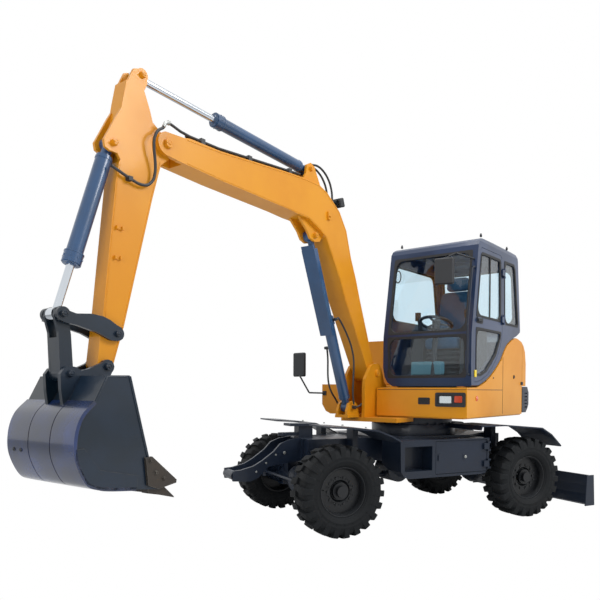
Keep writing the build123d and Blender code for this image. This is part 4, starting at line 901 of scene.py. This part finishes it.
# House fittings
house = dict(side=0.906, front=0.5702, seamX=-0.348, seamZ=1.345, seamHalf=0.0025, seamProud=0.0012)
lamp = dict(proud=0.586, lensBack=0.5775, lensFace=0.5835, lensBevel=0.003)
slot = dict(proud=0.576, slat=0.005, pitch=0.0105, first=1.212, past=1.250)
houseBoxes = [
    # y0, y1, z0, z1 and corner: the lamp bezel's loops, clear and red lens, the slot's loops and its backing
    (0.572, 0.894, 1.176, 1.316, 0.016), (0.596, 0.876, 1.198, 1.294, 0.012),
    (0.614, 0.748, 1.208, 1.284, 0.012), (0.777, 0.860, 1.218, 1.284, 0.010),
    (0.376, 0.507, 1.196, 1.265, 0.010), (0.388, 0.495, 1.208, 1.253, 0.006),
    (0.384, 0.499, 1.204, 1.257, 0.004),
]
lampOuter, lampInner, clearLens, redLens, slotOuter, slotInner, slotBack = (
    roundedBox(*box) for box in houseBoxes)
bezel = trimRing(lampOuter, lampInner, onHouseFront, house["front"], lamp["proud"])
piece("lampBezel", bezel, "upper", *trim)
clearShape, redShape = (plate(loop, onHouseFront, lamp["lensBack"], lamp["lensFace"], lamp["lensBevel"])
                        for loop in (clearLens, redLens))
piece("lampLensClear", clearShape, "upper", lampGlass, "window_glass")
mirrored = plate(inset(clearLens, 0.004), onHouseFront, 0.5772, 0.5780, 0.0004)
piece("lampReflector", mirrored, "upper", *silver)
piece("lampLensRed", redShape, "upper", lampRed, "lamp_plastic")
slotRing = trimRing(slotOuter, slotInner, onHouseFront, house["front"], slot["proud"])
piece("slotBezel", slotRing, "upper", *trim)
slats = [plate(roundedBox(0.386, 0.497, z, z + slot["slat"], 0.001), onHouseFront, 0.5712, 0.5745, 0.0005)
         for z in np.arange(slot["first"], slot["past"], slot["pitch"])]
slats.append(plate(slotBack, onHouseFront, 0.5694, 0.5708, 0.0002))
piece("slotSlats", together(slats), "upper", *trim)
domed = [(0.0, 0.026), (0.004, 0.026), (0.007, 0.023), (0.0095, 0.012), (0.010, 0.002)]
domed = turned(domed, (0.342, house["side"], 1.258), "y", 40)
piece("sideReflector", upperShape([domed]), "upper", reflectorOrange, "lamp_plastic")
keyhole = [(0.0, 0.021), (0.005, 0.021), (0.007, 0.018), (0.007, 0.011), (0.005, 0.010), (0.005, 0.002)]
lock = [turned(keyhole, (-0.679, house["side"], 1.493), "y", 32),
        button((-0.083, house["side"], 1.470), "y", 0.008, 0.005)]
piece("sideLock", upperShape(lock), "upper", *trim)
latch = roundedBox(-0.952, -0.902, 1.405, 1.440, 0.006)
latch = plate(latch, sideways, house["side"] - 0.002, house["side"] + 0.012, 0.003)
piece("coverLatch", latch, "upper", *trim)

half, proud = house["seamHalf"], house["seamProud"]
strip = [(-half, -proud), (half, -proud), (half, proud), (-half, proud)]
seams = [
    # name, line along the panel joint, direction of the strip's width
    ("sideDoor", [(house["seamX"], house["side"], z) for z in np.linspace(1.085, 1.700, 9)], (1, 0, 0)),
    ("sideFoot", [(x, house["side"], house["seamZ"]) for x in np.linspace(-0.340, 0.560, 9)], (0, 0, 1)),
    ("frontFoot", [(0.5705, y, house["seamZ"]) for y in np.linspace(-0.110, 0.900, 9)], (0, 0, 1)),
]
for label, line, across in seams:
    piece("seam_" + label, upperShape([carried(strip, line, across)]), "upper", *rubber)
print("house fittings made")

# Cab fittings
doorPlates = [
    # outline in X and Z with its corner radius, near and far depth from the door's face, bevel
    ((0.195, 0.352, 2.008, 2.068, 0.018), -0.006, 0.004, 0.002),
    ((0.232, 0.342, 2.024, 2.056, 0.012), 0.010, 0.022, 0.003),
    ((-0.012, 0.014, 2.085, 2.716, 0.004), -0.011, -0.004, 0.001),
    ((0.352, 0.392, 1.470, 1.540, 0.006), -0.002, 0.010, 0.003),
]
bezel, paddle, slider, marker = (plate(roundedBox(*box), standing, cab["y1"] + near, cab["y1"] + far, bevel)
                                 for box, near, far, bevel in doorPlates)
keyButton = button((0.218, cab["y1"] + 0.004, 2.038), "y", 0.012, 0.006)
piece("doorHandle", upperShape([bezel, paddle, keyButton]), "door", *trim)
piece("doorSlider", upperShape([slider]), "door", *rubber)
markerYellow = finish("markerYellow", (236, 206, 30), (226, 196, 24), 0.35, coat=0.3)
piece("doorMarker", upperShape([marker]), "door", markerYellow, "yellow_paint")

strap = dict(x=0.372, y=0.012, z=2.545, wide=0.034, tall=0.062, radius=0.006)
ring = circle(1.0, 40)
path = facing(ring * (strap["wide"], strap["tall"]) + (strap["y"], strap["z"]), strap["x"])
strapShape = carried(circle(strap["radius"], 10), path, (1, 0, 0), closed=True)
piece("strapLoop", upperShape([strapShape]), "upper", *trim)
stub = [(-0.012, 0.012), (0.010, 0.012), (0.012, 0.008), (0.022, 0.007), (0.024, 0.003)]
stubs = [turned(stub, (x, y, 2.905), "z", 20) for y in (0.86, -0.06) for x in (0.171, -0.541)]
piece("roofStubs", upperShape(stubs), "upper", *trim)

mirror = dict(halfWide=0.080, corner=0.02, near=-0.0245, far=-0.0262, bevel=0.0006)
mirrorFaces = []
for x, y, z, tall, degrees in ((0.640, 0.690, 2.490, 0.225, 12.0), (0.690, -1.085, 1.620, 0.240, -12.0)):
    loop = roundedBox(-mirror["halfWide"], mirror["halfWide"], -tall / 2, tall / 2, mirror["corner"])
    shape = plate(loop, facing, mirror["near"], mirror["far"], mirror["bevel"])
    shape["points"] = spun(shape["points"], degrees, (x, y, z))
    mirrorFaces.append(shape)
piece("mirrorFaces", upperShape(mirrorFaces), "upper", *silver)

steering = dict(radius=0.165, grip=0.0165, slope=0.35, rim=(0.228, 0.395, 2.040), hub=(0.224, 0.395, 2.043))
lean = -math.degrees(math.atan(steering["slope"]))
flat = circle(steering["radius"], 64)
path = tilted(np.column_stack((flat, np.zeros(64))), lean, steering["rim"])
grip = carried(circle(steering["grip"], 14), path, tilted(np.array((0.0, 0, 1)), lean, 0), closed=True)
bossProfile = [(0.0, 0.045), (0.020, 0.045), (0.032, 0.036), (0.038, 0.020), (0.039, 0.004)]
boss = turned(bossProfile, (0, 0, 0), "z", 32)
boss["points"] = tilted(boss["points"], lean, steering["hub"])
piece("steeringGrip", upperShape([grip, boss]), "upper", *trim, 50)

boot = dict(x=0.045, aside=0.290, foot=1.990, height=0.075, wide=0.034, taper=0.016, fold=0.0035, rows=13)
share = np.linspace(0, 1, boot["rows"])
folds = boot["wide"] - boot["taper"] * share + boot["fold"] * np.cos(np.arange(boot["rows"]) * math.pi)
folded = np.column_stack((boot["foot"] + boot["height"] * share, folds))
boots = [turned(folded, (boot["x"], seat["middle"] + aside, 0.0), "z", 28)
         for aside in (-boot["aside"], boot["aside"])]
piece("leverBoots", upperShape(boots), "upper", *trim, 60)
tray = plate(roundedBox(0.134, 0.489, 1.500, 1.640, 0.02), onHouseFront, 0.215, 0.300, 0.008)
piece("floorTray", tray, "upper", cabTeal, "trim_plastic")
print("cab fittings made")

# Chassis fittings
slewRing = dict(bolts=28, radius=0.448, top=0.9795)
slewX = -drawing["slewBehind"]
ringBolts = []
for turn in np.arange(slewRing["bolts"]) * 2 * math.pi / slewRing["bolts"]:
    x, y = slewX + slewRing["radius"] * math.cos(turn), slewRing["radius"] * math.sin(turn)
    ringBolts += boltHead((x, y, slewRing["top"]), "z", 0.011, 0.010)
flange = [(0.868, 0.415), (0.868, 0.462), (0.9725, 0.466), (0.9795, 0.462), (0.9795, 0.425)]
flange = turned(flange, (slewX, 0, 0), "z", 96)
piece("ringFlange", chassisShape([flange] + ringBolts), "chassis", *dark)
bolts = []
for sign in (1, -1):
    bolts += boltHead((1.374, sign * 0.162, 0.718), "y", 0.012, 0.010, sign)
    for x, z in ((1.460, 0.700), (1.560, 0.625), (1.660, 0.545)):
        bolts += boltHead((x, sign * 0.150, z), "y", 0.008, 0.006, sign)
    for x, z in ((0.640, 0.962), (0.900, 0.992), (1.150, 0.998)):
        bolts += boltHead((x, sign * 0.480, z), "z", 0.009, 0.007)
piece("chassisBolts", chassisShape(bolts), "chassis", *zinc)
lid = dict(face=0.818, lockX=-0.325, lockZ=0.668)
lockPlate = plate(roundedBox(-0.352, -0.298, 0.632, 0.700, 0.008), standing, lid["face"] - 0.002,
                  lid["face"] + 0.004, 0.001)
barrel = [(lid["face"] + 0.004, 0.016), (lid["face"] + 0.012, 0.015), (lid["face"] + 0.015, 0.009)]
piece("lidLockPlate", chassisShape([lockPlate]), "box_lid", *dark)
lidLock = turned(barrel, (lid["lockX"], 0.0, lid["lockZ"]), "y", 28)
piece("lidLock", chassisShape([lidLock]), "box_lid", *zinc)
print("chassis fittings made")

# Wheel fittings: nuts, the rim's rolled lip and the valve
rim = dict(nuts=10, nutRing=0.125, nutAt=0.064, halfWidth=0.1085)
nutProfile = [(0.0, 0.0075), (0.011, 0.0075), (0.013, 0.0055)]
lipProfile = np.array([
    # distance past the rim's edge, radius
    (-0.016, 0.2140), (0.0, 0.2145), (0.006, 0.2180), (0.007, 0.2240), (0.003, 0.2290), (-0.010, 0.2282)])
valve = dict(radius=0.004, foot=(0.175, 0.045, 0.02), tip=(0.178, 0.085, 0.022))
for label, hub, side in hubs:
    shapes = []
    for turn in np.arange(rim["nuts"]) * 2 * math.pi / rim["nuts"]:
        away = (rim["nutRing"] * math.sin(turn), side * rim["nutAt"], rim["nutRing"] * math.cos(turn))
        shapes.append(turned([(side * along, wide) for along, wide in nutProfile], hub + away, "y", 14))
    angle = np.linspace(0, 2 * math.pi, 96, endpoint=False)[:, None]
    across = side * rim["halfWidth"] + side * lipProfile[:, 0]
    grid = np.stack((lipProfile[:, 1] * np.sin(angle), np.broadcast_to(across, (96, len(across))),
                     lipProfile[:, 1] * np.cos(angle)), axis=-1) + hub
    shapes.append(surface(grid, wrapRows=True, wrapColumns=True))
    foot, tip = (hub + np.array(valve[end]) * (1, side, 1) for end in ("foot", "tip"))
    shapes.append(straightRun(foot, tip, valve["radius"], 12))
    piece("rimFittings_" + label, chassisShape(shapes), "wheel_" + label, rimPaint, "rim_paint")
print("wheel fittings made")

# Bucket fittings
bucket = dict(half=0.375, skin=0.383, groove=0.125, gap=0.004, proud=0.004, thick=0.018, steps=10,
              lugZ=0.952, boltAside=0.395)
shellLine = np.array([
    (3.984, 1.262), (4.067, 1.177), (4.108, 1.062), (4.106, 0.921), (4.040, 0.780), (3.962, 0.739),
    (3.877, 0.721), (3.700, 0.702)])


def smoothLine(line, steps):
    # Catmull-Rom: 0.5 (2b + (c - a) t + (2a - 5b + 4c - d) t^2 + (3b - a - 3c + d) t^3) between b and c
    ends = np.vstack((2 * line[0] - line[1], line, 2 * line[-1] - line[-2]))
    a, b, c, d = ends[:-3, None], ends[1:-2, None], ends[2:-1, None], ends[3:, None]
    t = np.linspace(0, 1, steps, endpoint=False)[None, :, None]
    square, cube = 2 * a - 5 * b + 4 * c - d, 3 * b - a - 3 * c + d
    run = 0.5 * (2 * b + (c - a) * t + square * t ** 2 + cube * t ** 3)
    return np.vstack((run.reshape(-1, 2), line[-1:]))


rolled = smoothLine(shellLine, bucket["steps"])
outward = leftward(rolled)
outer, inner = rolled + outward * bucket["proud"], rolled - outward * bucket["thick"]
edge, past = bucket["groove"] - bucket["gap"], bucket["groove"] + bucket["gap"]
bands = []
for near, far in ((-bucket["skin"], -past), (-edge, edge), (past, bucket["skin"])):
    corners = [alongArm(line, y) for line, y in ((outer, near), (outer, far), (inner, far), (inner, near))]
    bands.append(tube(np.stack(corners, axis=1)))
piece("bucketShell", upperShape(bands), "bucket", shellPaint, "dark_paint")
lugX = float(outer[np.argmin(np.abs(outer[:, 1] - bucket["lugZ"])), 0])
lug = [(-0.004, 0.013), (0.004, 0.013), (0.007, 0.009), (0.008, 0.002)]
shapes = [turned(lug, (lugX, armY + aside, bucket["lugZ"]), "x", 20) for aside in (-0.300, -0.215)]
for sign in (1, -1):
    for x, z in ((3.600, 0.880), (3.560, 0.800), (3.500, 0.755)):
        shapes += boltHead((x, armY + sign * bucket["boltAside"], z), "y", 0.012, 0.010, sign)
piece("bucketBolts", upperShape(shapes), "bucket", toothSteel, "dark_paint")
bucketBeads = [
    # bead radius, line in X and Z
    (0.005, [(3.760, 1.412), (3.894, 1.409), (3.976, 1.255), (4.059, 1.170), (4.098, 1.058),
             (4.098, 1.000)]),
    (0.009, [(3.741, 1.414), (3.606, 0.884), (3.520, 0.700)]),
]
shapes = [carried(circle(radius, 8), alongArm(np.array(line), sign * bucket["half"]))
          for sign in (1, -1) for radius, line in bucketBeads]
piece("bucketWelds", upperShape(shapes), "bucket", bucketPaint, "dark_paint", 60)
print("bucket fittings made")
